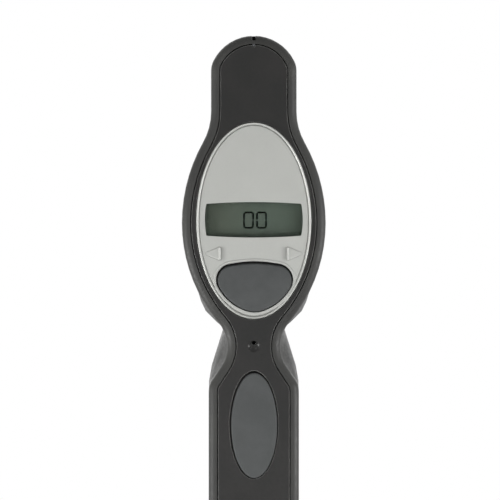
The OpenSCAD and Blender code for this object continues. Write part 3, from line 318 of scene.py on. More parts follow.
def silver(name, dark, light, rough=(0.38, 0.5), metal=0.35, painted_key_shade=False):
    """Silver paint or film with fine flakes, perhaps with painted shade at the foot of the embossed keys."""
    p = Paint(name, Metallic=metal)
    p.rounded(FINE_EDGE)
    flakes = p.cells(SILVER_FLAKE)
    cloud = p.uneven(SILVER_CLOUD, *FLAKE_SHARES, 2)
    base = p.blend(p.maths("MULTIPLY", p.ramp(flakes, *FLAKE_SPAN), cloud), light, dark)
    # Painted shade: the film is darkened at the foot of the embossed keys
    if painted_key_shade:
        base = p.blend(key_shade(p), base, scaled_colour(dark, KEY_SHADE_DIM))
    p.colour(base)
    p.rough(p.ramp(flakes, *FLAKE_SHEEN_SPAN, *rough))
    p.bump(p.noise(SILVER_FLAKE, 2), SILVER_DEPTH)
    return p.material


def elastomer(name, dark, light, grain=0.1 * MM, depth=0.006 * MM, sheen=0.05, gloss=GLOSS):
    """Matt moulded rubber."""
    p = Paint(name, Sheen_Weight=sheen, Sheen_Roughness=SHEEN_ROUGH, Specular_IOR_Level=gloss)
    p.rounded(RUBBER_EDGE)
    p.colour(p.blend(p.uneven(RUBBER_CLOUD, detail=4), dark, light))
    p.rough(p.uneven(RUBBER_SHEEN, *RUBBER_ROUGH))
    p.bump(p.noise(grain), depth)
    return p.material


def brushed(name, dark, light, stretch, rough=(0.22, 0.38)):
    """Metal with fine tool marks that run square to the stretched axis."""
    p = Paint(name, Metallic=1.0)
    p.rounded(FINE_EDGE)
    marks = p.noise(TOOL_MARK, 5, stretch)
    p.colour(p.blend(p.ramp(marks, *MARK_SPAN), dark, light))
    p.rough(p.ramp(marks, *MARK_SHEEN_SPAN, *rough))
    p.bump(marks, TOOL_MARK_DEPTH)
    return p.material


def clear_window(name, tint, shade):
    """Clear lens that lets the lamps through to the display behind it."""
    p = Paint(name, Transmission_Weight=1.0, IOR=WINDOW_IOR)
    p.shader.inputs["Base Color"].default_value = tint
    p.rough(p.uneven(WINDOW_CLOUD, *WINDOW_ROUGH))
    p.bump(p.noise(WINDOW_WAVE, 1), WINDOW_WAVE_DEPTH)
    through = p.node("ShaderNodeBsdfTransparent")
    through.inputs["Color"].default_value = shade
    p.mix_surface(p.node("ShaderNodeLightPath").outputs["Is Shadow Ray"], through)
    return p.material


def display_cell(name, centre, warm, edge, corner):
    """Grey-green liquid crystal cell, warmer to the left, with painted shade towards its ends and lower edge.
    """
    low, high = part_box("lcd_glass")
    p = Paint(name, Specular_IOR_Level=DISPLAY_GLOSS)
    x, _, z = p.split()
    ends = p.ramp(p.maths("ABSOLUTE", x), *(share * high.x for share in LCD_END_SHARES))
    mid = (low.z + high.z) / 2
    foot = p.ramp(z, *(mid - drop for drop in LCD_FOOT_DROPS))
    body = p.blend(p.ramp(x, *(share * high.x for share in LCD_WARM_SHARES)), centre, warm)
    body = p.blend(p.uneven(DISPLAY_CLOUD, 0.0, LCD_CLOUD_SHADE, 2), body, edge)
    # Painted shade towards the ends and the lower edge
    body = p.blend(p.maths("MULTIPLY", ends, LCD_END_SHADE), body, edge)
    p.colour(p.blend(p.maths("MULTIPLY", foot, LCD_FOOT_SHADE), body, corner))
    p.rough(p.uneven(DISPLAY_SHEEN, *DISPLAY_ROUGH))
    p.bump(p.noise(DISPLAY_GRAIN), DISPLAY_DEPTH)
    return p.material


def ink(name, colour):
    """Dark segments of the display."""
    p = Paint(name, roughness=INK_ROUGH, Specular_IOR_Level=DISPLAY_GLOSS)
    p.colour(p.blend(p.noise(INK_CLOUD), colour, scaled_colour(colour, INK_LIGHTER)))
    return p.material


def solder_mask(name, mask, track):
    """Board with faint tracks under the mask."""
    p = Paint(name, Coat_Weight=BOARD_COAT)
    x, _, z = p.split()
    flat = p.node("ShaderNodeCombineXYZ")
    p.link(x, flat.inputs[0])
    p.link(z, flat.inputs[1])
    brick = p.node("ShaderNodeTexBrick")
    p.link(flat.outputs[0], brick.inputs["Vector"])
    brick.inputs["Scale"].default_value = 1 / BOARD_TRACK
    brick.inputs["Mortar Size"].default_value = BOARD_TRACK_SHARE
    p.colour(p.blend(brick.outputs["Fac"], mask, track))
    p.rough(p.uneven(BOARD_CLOUD, *BOARD_ROUGH))
    p.bump(brick.outputs["Fac"], BOARD_TRACK_DEPTH)
    return p.material


def wound(name, dark, light):
    """Enamelled copper wire wound round the Y axis."""
    p = Paint(name, Metallic=WIRE_METAL)
    wave = p.node("ShaderNodeTexWave", bands_direction="Y")
    p.link(p.place, wave.inputs["Vector"])
    wave.inputs["Scale"].default_value = 1 / (WIRE * 6)
    p.colour(p.blend(wave.outputs["Fac"], dark, light))
    p.rough(p.uneven(WIRE_CLOUD, *WIRE_ROUGH))
    p.bump(wave.outputs["Fac"], WIRE / 3)
    return p.material


# Meshes

SHARP_ANGLE = 30
WELD = 0.0005 * MM
SHOULDER_SHARE = 0.8
EDGE_STEPS = 5
CROWN_STEPS = 6


def mesh_piece(name, points, faces, material, body, slot, angle=40):
    """A closed mesh that rides on a body."""
    data = bpy.data.meshes.new(name)
    data.from_pydata([tuple(p) for p in points], [], faces)
    bm = bmesh.new()
    bm.from_mesh(data)
    bmesh.ops.recalc_face_normals(bm, faces=bm.faces)
    bm.to_mesh(data)
    bm.free()
    return finish_piece(bpy.data.objects.new(name, data), material, body, angle)


def finish_piece(piece, material, body, angle):
    """Gives a new piece its shading up to an angle in degrees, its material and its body."""
    scene.collection.objects.link(piece)
    piece.data.shade_smooth()
    piece.data.set_sharp_from_angle(angle=math.radians(angle))
    piece.data.materials.append(material)
    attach(piece, body)
    return piece


def skin(rings, pairs):
    """Points of rings of equal length, and the faces between each pair of rings."""
    n = len(rings[0])
    faces = [(j * n + i, j * n + (i + 1) % n, k * n + (i + 1) % n, k * n + i)
             for j, k in pairs for i in range(n)]
    return [p for ring in rings for p in ring], faces


def stacked(rings):
    """Points and faces of closed rings, one after the other, with flat ends."""
    n, last = len(rings[0]), len(rings) - 1
    points, faces = skin(rings, [(k, k + 1) for k in range(last)])
    return points, faces + [tuple(range(n)), tuple(last * n + i for i in reversed(range(n)))]


def looped(rings):
    """Points and faces of closed rings, the last of them joined to the first."""
    return skin(rings, [(k, (k + 1) % len(rings)) for k in range(len(rings))])


def spread(count, low, high):
    """count steps from low to high, both ends in."""
    return [low + (high - low) * i / count for i in range(count + 1)]


def turn(count):
    """Angles of count points round a circle."""
    return [2 * math.pi * i / count for i in range(count)]


def ellipse(a, b, centre, count):
    return [Vector((centre[0] + a * math.cos(t), centre[1] + b * math.sin(t))) for t in turn(count)]


def circle_points(centre, radius, count=96):
    return ellipse(radius, radius, centre, count)


def hull(points):
    """Convex outline round points, anticlockwise."""
    points = sorted({(round(p[0], 9), round(p[1], 9)) for p in points})

    def half(run):
        kept = []
        for p in run:
            while len(kept) > 1 and ((kept[-1][0] - kept[-2][0]) * (p[1] - kept[-2][1])
                                     - (kept[-1][1] - kept[-2][1]) * (p[0] - kept[-2][0])) <= 0:
                kept.pop()
            kept.append(p)
        return kept[:-1]

    return [Vector(p) for p in half(points) + half(reversed(points))]


def even(outline, count):
    """The closed outline as count points that lie evenly along it."""
    ends = outline[1:] + outline[:1]
    lengths = [(b - a).length for a, b in zip(outline, ends)]
    step = sum(lengths) / count
    made, k, used = [], 0, 0.0
    for i in range(count):
        while k < len(lengths) - 1 and used + lengths[k] < i * step:
            used += lengths[k]
            k += 1
        made.append(outline[k].lerp(ends[k], (i * step - used) / lengths[k]))
    return made


def drawn_in(outline, distance):
    """The anticlockwise outline drawn in by distance along its own normals."""
    n = len(outline)
    made = []
    for i, p in enumerate(outline):
        along = (outline[(i + 1) % n] - outline[i - 1]).normalized()
        made.append(p + Vector((-along.y, along.x)) * distance)
    return made


def crowned(outline, foot_y, rim_y, crown_y, edge):
    """Rings of a button: straight sides from foot_y to rim_y, a rounded edge, and a crown at crown_y."""
    middle = sum(outline, Vector((0, 0))) / len(outline)
    made = [[(p.x, foot_y, p.y) for p in outline]]
    shoulder = rim_y + (crown_y - rim_y) * SHOULDER_SHARE
    for a in spread(EDGE_STEPS, 0, math.pi / 2):
        made.append([(p.x, rim_y + (shoulder - rim_y) * math.sin(a), p.y)
                     for p in drawn_in(outline, edge * (1 - math.cos(a)))])
    top = drawn_in(outline, edge)
    for t in spread(CROWN_STEPS, 0, 1)[1:-1]:
        y = shoulder + (crown_y - shoulder) * math.sin(math.pi / 2 * t)
        made.append([(q.x, y, q.y) for q in (p.lerp(middle, t) for p in top)])
    return made


def plate_with_holes(name, outline, holes, y0, y1, edge, material, body):
    """A flat plate with rounded edges between the depths y0 and y1."""
    curve = bpy.data.curves.new(name, "CURVE")
    curve.dimensions = "2D"
    curve.fill_mode = "BOTH"
    for loop in [drawn_in(outline, edge)] + [drawn_in(hole, -edge) for hole in holes]:
        spline = curve.splines.new("POLY")
        spline.points.add(len(loop) - 1)
        for point, p in zip(spline.points, loop):
            point.co = (p.x, p.y, 0, 1)
        spline.use_cyclic_u = True
    curve.bevel_depth = edge
    curve.bevel_resolution = 2
    curve.extrude = (y1 - y0) / 2 - edge
    made = bpy.data.objects.new(name, curve)
    scene.collection.objects.link(made)
    made.rotation_euler = (math.pi / 2, 0, 0)
    made.location = (0, (y0 + y1) / 2, 0)
    bpy.context.view_layer.update()
    data = bpy.data.meshes.new_from_object(made.evaluated_get(bpy.context.evaluated_depsgraph_get()))
    data.transform(made.matrix_world)
    bpy.data.objects.remove(made)
    data.materials.clear()
    data.name = name
    return finish_piece(bpy.data.objects.new(name, data), material, body, SHARP_ANGLE)


def turned(name, profile, place, axis, material, body, slot, count=96):
    """A piece turned about a line through place along axis Y or Z; the profile holds (radius, along)."""
    rings = []
    for radius, along in profile:
        ring = []
        for a in turn(count):
            p = {"Y": (radius * math.sin(a), along, radius * math.cos(a)),
                 "Z": (radius * math.cos(a), radius * math.sin(a), along)}[axis]
            ring.append(Vector(p) + Vector(place))
        rings.append(ring)
    return mesh_piece(name, *stacked(rings), material, body, slot, SHARP_ANGLE)


def smooth_by_angle():
    """A modifier tree that joins the CAD's facets and smooths them up to an angle."""
    tree = bpy.data.node_groups.new("facets_smoothed", "GeometryNodeTree")
    tree.interface.new_socket("Geometry", in_out="INPUT", socket_type="NodeSocketGeometry")
    tree.interface.new_socket("Limit", in_out="INPUT", socket_type="NodeSocketFloat")
    tree.interface.new_socket("Geometry", in_out="OUTPUT", socket_type="NodeSocketGeometry")
    start = tree.nodes.new("NodeGroupInput")
    end = tree.nodes.new("NodeGroupOutput")
    weld = tree.nodes.new("GeometryNodeMergeByDistance")
    weld.inputs["Distance"].default_value = WELD
    smooth = tree.nodes.new("GeometryNodeSetShadeSmooth")
    sharp = tree.nodes.new("GeometryNodeSetShadeSmooth")
    sharp.domain = "EDGE"
    sharp.inputs["Shade Smooth"].default_value = False
    angle = tree.nodes.new("GeometryNodeInputMeshEdgeAngle")
    above = tree.nodes.new("FunctionNodeCompare")
    above.operation = "GREATER_THAN"
    for a, b in ((start.outputs[0], weld.inputs["Geometry"]), (weld.outputs[0], smooth.inputs["Geometry"]),
                 (smooth.outputs[0], sharp.inputs["Geometry"]), (angle.outputs[0], above.inputs[0]),
                 (start.outputs[1], above.inputs[1]), (above.outputs[0], sharp.inputs["Selection"]),
                 (sharp.outputs[0], end.inputs[0])):
        tree.links.new(a, b)
    return tree


SMOOTHING = smooth_by_angle()


def dress(node, material, smooth=None):
    """Gives a CAD node its material, and smooths its facets up to an angle in degrees."""
    piece = nodes[node]
    piece.data.materials.clear()
    piece.data.materials.append(material)
    if smooth is None:
        return
    normals = piece.data.attributes.get("custom_normal")
    if normals is not None:
        piece.data.attributes.remove(normals)
    modifier = piece.modifiers.new("facets_smoothed", "NODES")
    modifier.node_group = SMOOTHING
    limit = SMOOTHING.interface.items_tree["Limit"].identifier
    modifier[limit] = math.radians(smooth)


# Materials

# Pale edges of the dark plastics: partly wear, partly a painted edge highlight
WEAR_AND_HIGHLIGHT = rgb(90, 90, 88)
SHELL = moulded("shell_plastic", rgb(45, 45, 44), rgb(52, 52, 50), rough=(0.4, 0.55), wear_and_highlight=WEAR_AND_HIGHLIGHT)
CAP = moulded("cap_plastic", rgb(40, 40, 39), rgb(46, 46, 45), wear_and_highlight=WEAR_AND_HIGHLIGHT)
# The panel's very pale edges are mostly a painted highlight beside the seam, partly wear
PANEL = moulded("panel_plastic", rgb(23, 23, 22), rgb(30, 29, 28), rough=(0.45, 0.6), depth=0.008 * MM,
                edge=0.3 * MM, wear_and_highlight=rgb(140, 140, 137), wear_and_highlight_span=(0.5, 1.0),
                polished=((0, PANEL_Y, SOUND_HOLE_Z), 1.3 * MM, 0.3))
BEZEL = silver("bezel_silver", rgb(162, 163, 159), rgb(182, 183, 179), metal=0.4)
# The film carries painted shade at the foot of the keys
FILM = silver("overlay_silver", rgb(158, 159, 155), rgb(170, 171, 167), (0.42, 0.55), metal=0.3, painted_key_shade=True)
# Near-black for the gaps round the button and in the parting groove: painted shade
GAP_SHADE = elastomer("gap_shade_black", rgb(9), rgb(14), sheen=0.0, gloss=0.1)
WINDOW = clear_window("window_clear", (0.86, 0.89, 0.86, 1.0), (0.9, 0.92, 0.9, 1.0))
# Display colours: centre, warm left, a darker one for the cloud and the painted shade at the ends, and the
# painted shade at the lower edge
DISPLAY = display_cell("lcd", rgb(64, 70, 65), rgb(67, 70, 64), rgb(47, 51, 46), rgb(38, 45, 40))
DIGIT_INK = ink("digit_ink", rgb(2))
WHITE = moulded("white_plastic", rgb(218, 216, 208), rgb(228, 226, 219), rough=(0.4, 0.5), depth=0.006 * MM)
BUTTON = elastomer("button_grey", rgb(67, 69, 69), rgb(73, 75, 75))
BOARD = solder_mask("board_green", rgb(22, 84, 50), rgb(48, 126, 76))
BLACK = moulded("black_plastic", rgb(30), rgb(38), rough=(0.35, 0.5), depth=0.005 * MM)
NOSE = moulded("nose_plastic", rgb(54, 54, 53), rgb(60, 60, 59), wear_and_highlight=rgb(92, 92, 90))
COLLAR = brushed("collar_metal", rgb(150, 152, 152), rgb(174, 175, 175), (0.2, 6, 0.2))
STEEL = brushed("steel", rgb(146, 148, 150), rgb(178, 179, 181), (6, 0.3, 0.3), rough=(0.2, 0.32))
SCREW = brushed("screw_steel", rgb(96, 98, 101), rgb(124, 126, 129), (0.3, 4, 4), rough=(0.35, 0.5))
LOCK = brushed("lock_steel", rgb(112, 115, 118), rgb(142, 145, 148), (0.3, 6, 6), rough=(0.35, 0.5))
COPPER = wound("copper", rgb(140, 72, 34), rgb(205, 124, 72))
GUIDE = moulded("guide_plastic", rgb(138, 140, 142), rgb(148, 150, 152), rough=(0.4, 0.55))
BAR = brushed("bar_metal", rgb(146, 148, 150), rgb(174, 175, 177), (6, 0.15, 6), rough=(0.3, 0.42))
PAD = elastomer("pad_rubber", rgb(96, 99, 101), rgb(106, 109, 110), 0.14 * MM, 0.01 * MM, sheen=0.15)
WHEEL = moulded("wheel_plastic", rgb(72, 73, 75), rgb(80, 81, 83), wear_and_highlight=rgb(110, 111, 113))
TRAY = moulded("tray_plastic", rgb(42, 44, 47), rgb(50, 52, 55), rough=(0.4, 0.55))
SLEEVE = silver("cell_sleeve", rgb(150, 118, 48), rgb(178, 142, 66), rough=(0.28, 0.4), metal=0.6)
BAND = moulded("cell_band", rgb(225, 224, 218), rgb(232, 231, 226), rough=(0.3, 0.4), depth=0.002 * MM)
NICKEL = brushed("contact_steel", rgb(190, 190, 186), rgb(220, 220, 216), (4, 4, 0.3), rough=(0.2, 0.32))

# CAD nodes whose facets are smoothed up to an angle in degrees
FACETED = {
    "left_shell": (SHELL, 34), "right_shell": (SHELL, 34), "end_cap": (CAP, 34),
    "display_bezel": (BEZEL, 34), "lower_spring": (NICKEL, 62), "upper_spring": (NICKEL, 62),
}
for name, (paint, limit) in FACETED.items():
    dress(name, paint, limit)
for name, paint in {
    "battery_door": SHELL, "back_panel": PANEL, "display_window": WINDOW, "lcd_glass": DISPLAY,
    "lcd_holder": WHITE, "coil_bobbin": WHITE, "circuit_board": BOARD, "board_chips": BLACK,
    "key_switches": BLACK, "buzzer": BLACK, "nose_housing": NOSE, "collar": COLLAR, "probe_base": STEEL,
    "probe": STEEL, "case_screws": SCREW, "door_lock": LOCK, "drive_coil": COPPER, "sensing_coil": COPPER,
    "rest_guide": GUIDE, "rest_bar": BAR, "adjusting_wheel": WHEEL, "wheel_dial": WHEEL, "battery_tray": TRAY,
    "bridge_contact": NICKEL, "plus_contact": NICKEL, "minus_contact": NICKEL,
}.items():
    dress(name, paint)

# Outlines on the silver face

BEZEL_LOW, BEZEL_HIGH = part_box("display_bezel")
BEZEL_Z = (BEZEL_LOW.z + BEZEL_HIGH.z) / 2
FILM_LOW, FILM_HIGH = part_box("keypad_overlay")
WINDOW_LOW, WINDOW_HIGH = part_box("display_window")
BUTTON_LOW, BUTTON_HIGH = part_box("measurement_button")
OUTLINE_POINTS = 160
ARC_STEPS = 24
BUTTON_FLANGE = 0.35 * MM
BUTTON_DROP = 9.3 * MM
BUTTON_CORNER_R = 3.4 * MM
BUTTON_FOOT_R = 5.9 * MM
BUTTON_FLANK_R = 11 * MM
BUTTON_BOW = 0.5 * MM
WINDOW_BOW_X = 0.35 * MM
WINDOW_BOW_Z = 0.4 * MM
KEY_L = 3.5 * MM
KEY_H = 3.0 * MM
KEY_ROUND = 0.35 * MM
KEY_POINTS = 144


def flank_centre(corner, heel):
    """Centre of the arc that runs smoothly from the corner's circle into the foot's."""
    a, b = BUTTON_FLANK_R - BUTTON_CORNER_R, BUTTON_FLANK_R - BUTTON_FOOT_R
    way = heel - corner
    along = (a * a - b * b + way.length_squared) / (2 * way.length)
    across = math.sqrt(a * a - along * along)
    return corner + (way * along + Vector((way.y, -way.x)) * across) / way.length


def button_outline(grow):
    """Rounded triangle with a slightly bowed top edge."""
    top = BEZEL_Z - BUTTON_DROP
    corner_x = BUTTON_HIGH.x - BUTTON_FLANGE - BUTTON_CORNER_R
    corner_z = top - BUTTON_BOW - BUTTON_CORNER_R
    heel_z = BUTTON_LOW.z + BUTTON_FLANGE + BUTTON_FOOT_R
    points = [p for side in (-1, 1)
              for p in circle_points((side * corner_x, corner_z), BUTTON_CORNER_R + grow)]
    points += [p for p in circle_points((0, heel_z), BUTTON_FOOT_R + grow) if p.y < heel_z]
    bow_r = (corner_x ** 2 + BUTTON_BOW ** 2) / (2 * BUTTON_BOW)
    reach = math.asin(corner_x / bow_r)
    points += [((bow_r + grow) * math.sin(a), top - bow_r + (bow_r + grow) * math.cos(a))
               for a in spread(ARC_STEPS, -reach, reach)]
    corner, heel = Vector((corner_x, corner_z)), Vector((0, heel_z))
    flank = flank_centre(corner, heel)
    start, end = (math.atan2(c.y - flank.y, c.x - flank.x) for c in (corner, heel))
    for a in spread(ARC_STEPS, start, end):
        x, z = flank + Vector((math.cos(a), math.sin(a))) * (BUTTON_FLANK_R + grow)
        points += [(x, z), (-x, z)]
    return even(hull(points), OUTLINE_POINTS)


def window_outline():
    """Window with edges that bow outwards."""
    w, h = WINDOW_HIGH.x, (WINDOW_HIGH.z - WINDOW_LOW.z) / 2
    z = (WINDOW_HIGH.z + WINDOW_LOW.z) / 2
    points = []
    for t in spread(ARC_STEPS, -1, 1):
        for side in (-1, 1):
            points.append(((w - WINDOW_BOW_X) * t, z + side * (h - WINDOW_BOW_Z * t * t)))
            points.append((side * (w - WINDOW_BOW_X * t * t), z + (h - WINDOW_BOW_Z) * t))
    return even(hull(points), OUTLINE_POINTS)


def key_outline(side, grow):
    """Triangle of a selector key, its point outwards."""
    base_z = KEY_H / 2 - KEY_ROUND
    points = []
    for x, z in ((KEY_ROUND, base_z), (KEY_ROUND, -base_z), (KEY_L - KEY_ROUND, 0)):
        points += circle_points((side * (KEY_BASE_X + x), KEY_Z + z), KEY_ROUND + grow, 32)
    return even(hull(points), KEY_POINTS)


def moved(outline, shift):
    return [p + shift for p in outline]


# Keypad film with its openings, and the light bead round the button's opening

FILM_WIDER = 0.2 * MM
FILM_EDGE = 0.05 * MM
FILM_RIM_POINTS = 200
KEY_GAP = 0.02 * MM
OPENING_LARGER = 0.22 * MM
OPENING_SHIFT = Vector((0.16, 0.1)) * MM
BEAD_OUT = 0.34 * MM
BEAD_W = 0.6 * MM
BEAD_H = 0.16 * MM
BEAD_SINK = 0.02 * MM
BEAD_FADE = 7 * MM
BEAD_LEAST_SHARE = 0.15
BEAD_ROOT_SHARE = 0.3
BEAD_STEPS = 6


def button_bead():
    """A rounded bead that stands out to -Y and fades towards the button's foot."""
    outline = moved(button_outline(OPENING_LARGER + BEAD_OUT), OPENING_SHIFT)
    base_y = FILM_LOW.y + BEAD_SINK

    def height(p):
        return BEAD_H * min(1.0, max(BEAD_LEAST_SHARE, (p.y - BUTTON_LOW.z) / BEAD_FADE))

    rings = []
    for share in spread(BEAD_STEPS, 0, 1):
        rings.append([(p.x, base_y - height(p) * math.sin(math.pi * share), p.y)
                      for p in drawn_in(outline, BEAD_W * (share - 0.5))])
    for inset in (BEAD_W / 2, -BEAD_W / 2):
        rings.append([(p.x, base_y + BEAD_H * BEAD_ROOT_SHARE, p.y) for p in drawn_in(outline, inset)])
    mesh_piece("button_bead", *looped(rings), FILM, "housing", "overlay_silver")


opening = moved(button_outline(OPENING_LARGER), OPENING_SHIFT)
film_rim = ellipse(FILM_HIGH.x + FILM_WIDER, (FILM_HIGH.z - FILM_LOW.z) / 2 + FILM_WIDER, (0, BEZEL_Z),
                   FILM_RIM_POINTS)
film = plate_with_holes("keypad_film", film_rim,
                        [window_outline(), opening, key_outline(1, KEY_GAP), key_outline(-1, KEY_GAP)],
                        FILM_LOW.y, FILM_HIGH.y, FILM_EDGE, FILM, "housing")
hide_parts("keypad_overlay")
button_bead()

# Measurement button, and a near-black sheet in the gap round it that is painted shade

BUTTON_SMALLER = 0.1 * MM
BUTTON_SHIFT = Vector((0.2, -0.05)) * MM
BUTTON_SINK = 2.5 * MM
BUTTON_RIM_DROP = 0.3 * MM
BUTTON_RISE = 0.45 * MM
BUTTON_EDGE = 0.35 * MM
GAP_SHADE_CLEARANCE = 0.03 * MM
GAP_SHADE_SINK = 0.01 * MM
GAP_SHADE_DROP = 0.13 * MM

hem = moved(button_outline(GAP_SHADE_CLEARANCE - BUTTON_SMALLER), BUTTON_SHIFT)
gap_shade_y = (FILM_HIGH.y - GAP_SHADE_SINK, FILM_LOW.y + GAP_SHADE_DROP)
gap_shade_rings = [[(p.x, y, p.y) for p in loop]
              for y, loop in ((gap_shade_y[0], opening), (gap_shade_y[1], opening), (gap_shade_y[1], hem), (gap_shade_y[0], hem))]
# The near-black sheet stands in for the shade deep in the gap: painted shade
mesh_piece("button_gap_shade", *looped(gap_shade_rings), GAP_SHADE, "housing", "black_plastic")
button_rings = crowned(moved(button_outline(-BUTTON_SMALLER), BUTTON_SHIFT), BUTTON_HIGH.y - BUTTON_SINK,
                       FILM_LOW.y + BUTTON_RIM_DROP, FILM_LOW.y - BUTTON_RISE, BUTTON_EDGE)
press = mesh_piece("button_cap", *stacked(button_rings), BUTTON, "measurement_button", "button_grey", 60)
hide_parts("measurement_button")

# Selector keys: a ridge along the base, and a triangle that fades into the film at its point

KEY_RISE = 0.34 * MM
KEY_SINK = 2 * MM
KEY_HEART_SHARE = 0.3
KEY_RING_SHARES = (0.0, 0.03, 0.07, 0.12, 0.18, 0.26, 0.36, 0.5, 0.65, 0.8, 0.93)
RIDGE_PLACE_SHARE = 0.09
RIDGE_WIDTH_SHARE = 0.07
FIELD_SHARE = 0.42
FIELD_EASE_SHARE = 0.1
EDGE_EASE_SHARE = 0.035


def key_rise(x, inward):
    """How far a key stands out at x, at a share of the way from its outline to its heart."""
    along = (abs(x) - KEY_BASE_X) / KEY_L
    ridge = math.exp(-((along - RIDGE_PLACE_SHARE) / RIDGE_WIDTH_SHARE) ** 2)
    field = FIELD_SHARE * max(0.0, 1 - along) * (1 - math.exp(-inward / FIELD_EASE_SHARE))
    return KEY_RISE * (1 - math.exp(-(inward / EDGE_EASE_SHARE) ** 2)) * max(ridge, field)


def selector_key(side, body, node):
    outline = key_outline(side, 0)
    heart = Vector((side * (KEY_BASE_X + KEY_L * KEY_HEART_SHARE), KEY_Z))
    rings = [[(p.x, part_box(node)[1].y - KEY_SINK, p.y) for p in outline]]
    for inward in KEY_RING_SHARES:
        rings.append([(q.x, FILM_LOW.y - key_rise(q.x, inward), q.y)
                      for q in (p.lerp(heart, inward) for p in outline)])
    key = mesh_piece(f"{body}_cap", *stacked(rings), FILM, body, "overlay_silver", 60)
    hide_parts(node)


selector_key(1, "right_key", "selector_key_right")
selector_key(-1, "left_key", "selector_key_left")

# Grip pad

GRIP_LOW, GRIP_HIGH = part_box("grip_pad")
GRIP_SHIFT = (0.1 * MM, -0.16 * MM)
GRIP_SMALLER = 0.2 * MM
GRIP_EDGE = 0.35 * MM
GRIP_POINTS = 144

grip_outline = drawn_in(ellipse((GRIP_HIGH.x - GRIP_LOW.x) / 2, (GRIP_HIGH.z - GRIP_LOW.z) / 2,
                                (GRIP_SHIFT[0], (GRIP_LOW.z + GRIP_HIGH.z) / 2 + GRIP_SHIFT[1]), GRIP_POINTS),
                        GRIP_SMALLER)
grip_rings = crowned(grip_outline, GRIP_HIGH.y, PANEL_Y + GRIP_EDGE, PANEL_Y - GRIP_EDGE, GRIP_EDGE)
grip = mesh_piece("grip_inlay", *stacked(grip_rings), BUTTON, "housing", "button_grey", 60)
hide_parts("grip_pad")

# Near-black strip that fills the parting groove over the top as painted shade, and the pin that shows in the
# panel's notch

STRIP_HALF = 0.41 * MM
STRIP_ROUND = 0.1 * MM
STRIP_DROP = 0.15 * MM
STRIP_DEPTH = 1.09 * MM
STRIP_START = 3.2 * MM
STRIP_STOP = 4.9 * MM
STRIP_END_L = 0.2 * MM
STRIP_END_DROP = 0.25 * MM
PIN_POINTS = 40
PIN_PROFILE = ((0.36 * MM, 1.2 * MM), (0.38 * MM, 0.25 * MM), (0.3 * MM, 0.12 * MM), (0.14 * MM, 0.06 * MM))


def strip_ring(y, drop):
    """Section of the strip at a depth, its rounded top a drop below the casing's."""
    ring = []
    for side in (1, -1):
        for a in spread(4, 0, math.pi / 2)[::side]:
            ring.append((side * (STRIP_HALF - STRIP_ROUND * (1 - math.cos(a))), y,
                         TOP_Z - drop + STRIP_ROUND * math.sin(a)))
    return ring + [(x, y, TOP_Z - STRIP_DEPTH) for x in (-STRIP_HALF, STRIP_HALF)]


strip_y = (PANEL_Y + STRIP_START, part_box("forehead_pad")[0].y - STRIP_STOP)
strip_rings = [strip_ring(y, drop) for y, drop in (
    (strip_y[0], STRIP_DROP + STRIP_END_DROP), (strip_y[0] + STRIP_END_L, STRIP_DROP),
    (strip_y[1] - STRIP_END_L, STRIP_DROP), (strip_y[1], STRIP_DROP + STRIP_END_DROP))]
# The strip's near-black stands in for the groove's shade: painted shade
mesh_piece("parting_strip", *stacked(strip_rings), GAP_SHADE, "housing", "black_plastic")
turned("notch_pin", PIN_PROFILE, (0, PANEL_Y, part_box("back_panel")[1].z), "Y", WHEEL,
       "housing", "wheel_plastic", PIN_POINTS)

# Forehead pad: moulded soft rubber with a bulging edge and a hollow that a brow rests in

PAD_LOW, PAD_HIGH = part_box("forehead_pad")
PAD_TOP_R = 9.4 * MM
PAD_CORNER_X = 4.48 * MM
PAD_CORNER_R = 4.4 * MM
PAD_FOOT_R = 1.5 * MM
PAD_POINTS = 192
BROW_R = 28 * MM
BROW_D = 0.8 * MM

# Each ring of the pad's edge: its inset in mm and its share of the pad's depth
PAD_EDGE = ((1.0, 0.0), (0.55, 0.04), (0.25, 0.11), (0.1, 0.2), (0.06, 0.3), (0.03, 0.42), (0.0, 0.46),
            (0.0, 0.5), (0.03, 0.54), (0.06, 0.62), (0.15, 0.72), (0.4, 0.82), (0.8, 0.9), (1.3, 0.95))
PAD_FACE_INSET = 1.9 * MM
PAD_FACE_SHARES = (0.0, 0.06, 0.14, 0.24, 0.36, 0.5, 0.64, 0.78, 0.9)
PAD_FACE_DROP = 0.12 * MM
PAD_FACE_EASE = 30


def pad_outline():
    top_z = PAD_HIGH.z - PAD_TOP_R
    corner_z = top_z + math.sqrt((PAD_TOP_R - PAD_CORNER_R) ** 2 - PAD_CORNER_X ** 2)
    points = [(side * x, z) for side in (-1, 1)
              for x, z in circle_points((PAD_CORNER_X, corner_z), PAD_CORNER_R)
              + circle_points((PAD_HIGH.x - PAD_FOOT_R, PAD_LOW.z + PAD_FOOT_R), PAD_FOOT_R)]
    reach = math.atan2(PAD_CORNER_X, corner_z - top_z)
    points += [(PAD_TOP_R * math.sin(a), top_z + PAD_TOP_R * math.cos(a))
               for a in spread(ARC_STEPS, -reach, reach)]
    return even(hull(points), PAD_POINTS)


def brow(x):
    """How deep the hollow is at x."""
    return max(0.0, BROW_D - (BROW_R - math.sqrt(BROW_R ** 2 - x * x)))


def brow_cushion():
    outline = pad_outline()
    middle = sum(outline, Vector((0, 0))) / len(outline)
    rings = []
    for inset, share in PAD_EDGE:
        y = PAD_LOW.y + (PAD_HIGH.y - PAD_LOW.y) * share
        rings.append([(p.x, y - brow(p.x) * share ** 4, p.y) for p in drawn_in(outline, inset * MM)])
    face = drawn_in(outline, PAD_FACE_INSET)
    for t in PAD_FACE_SHARES:
        y = PAD_HIGH.y - PAD_FACE_DROP * math.exp(-t * PAD_FACE_EASE)
        rings.append([(q.x, y - brow(q.x), q.y) for q in (p.lerp(middle, t) for p in face)])
    cushion = mesh_piece("brow_cushion", *stacked(rings), PAD, "forehead_rest", "pad_rubber", 50)
    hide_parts("forehead_pad")


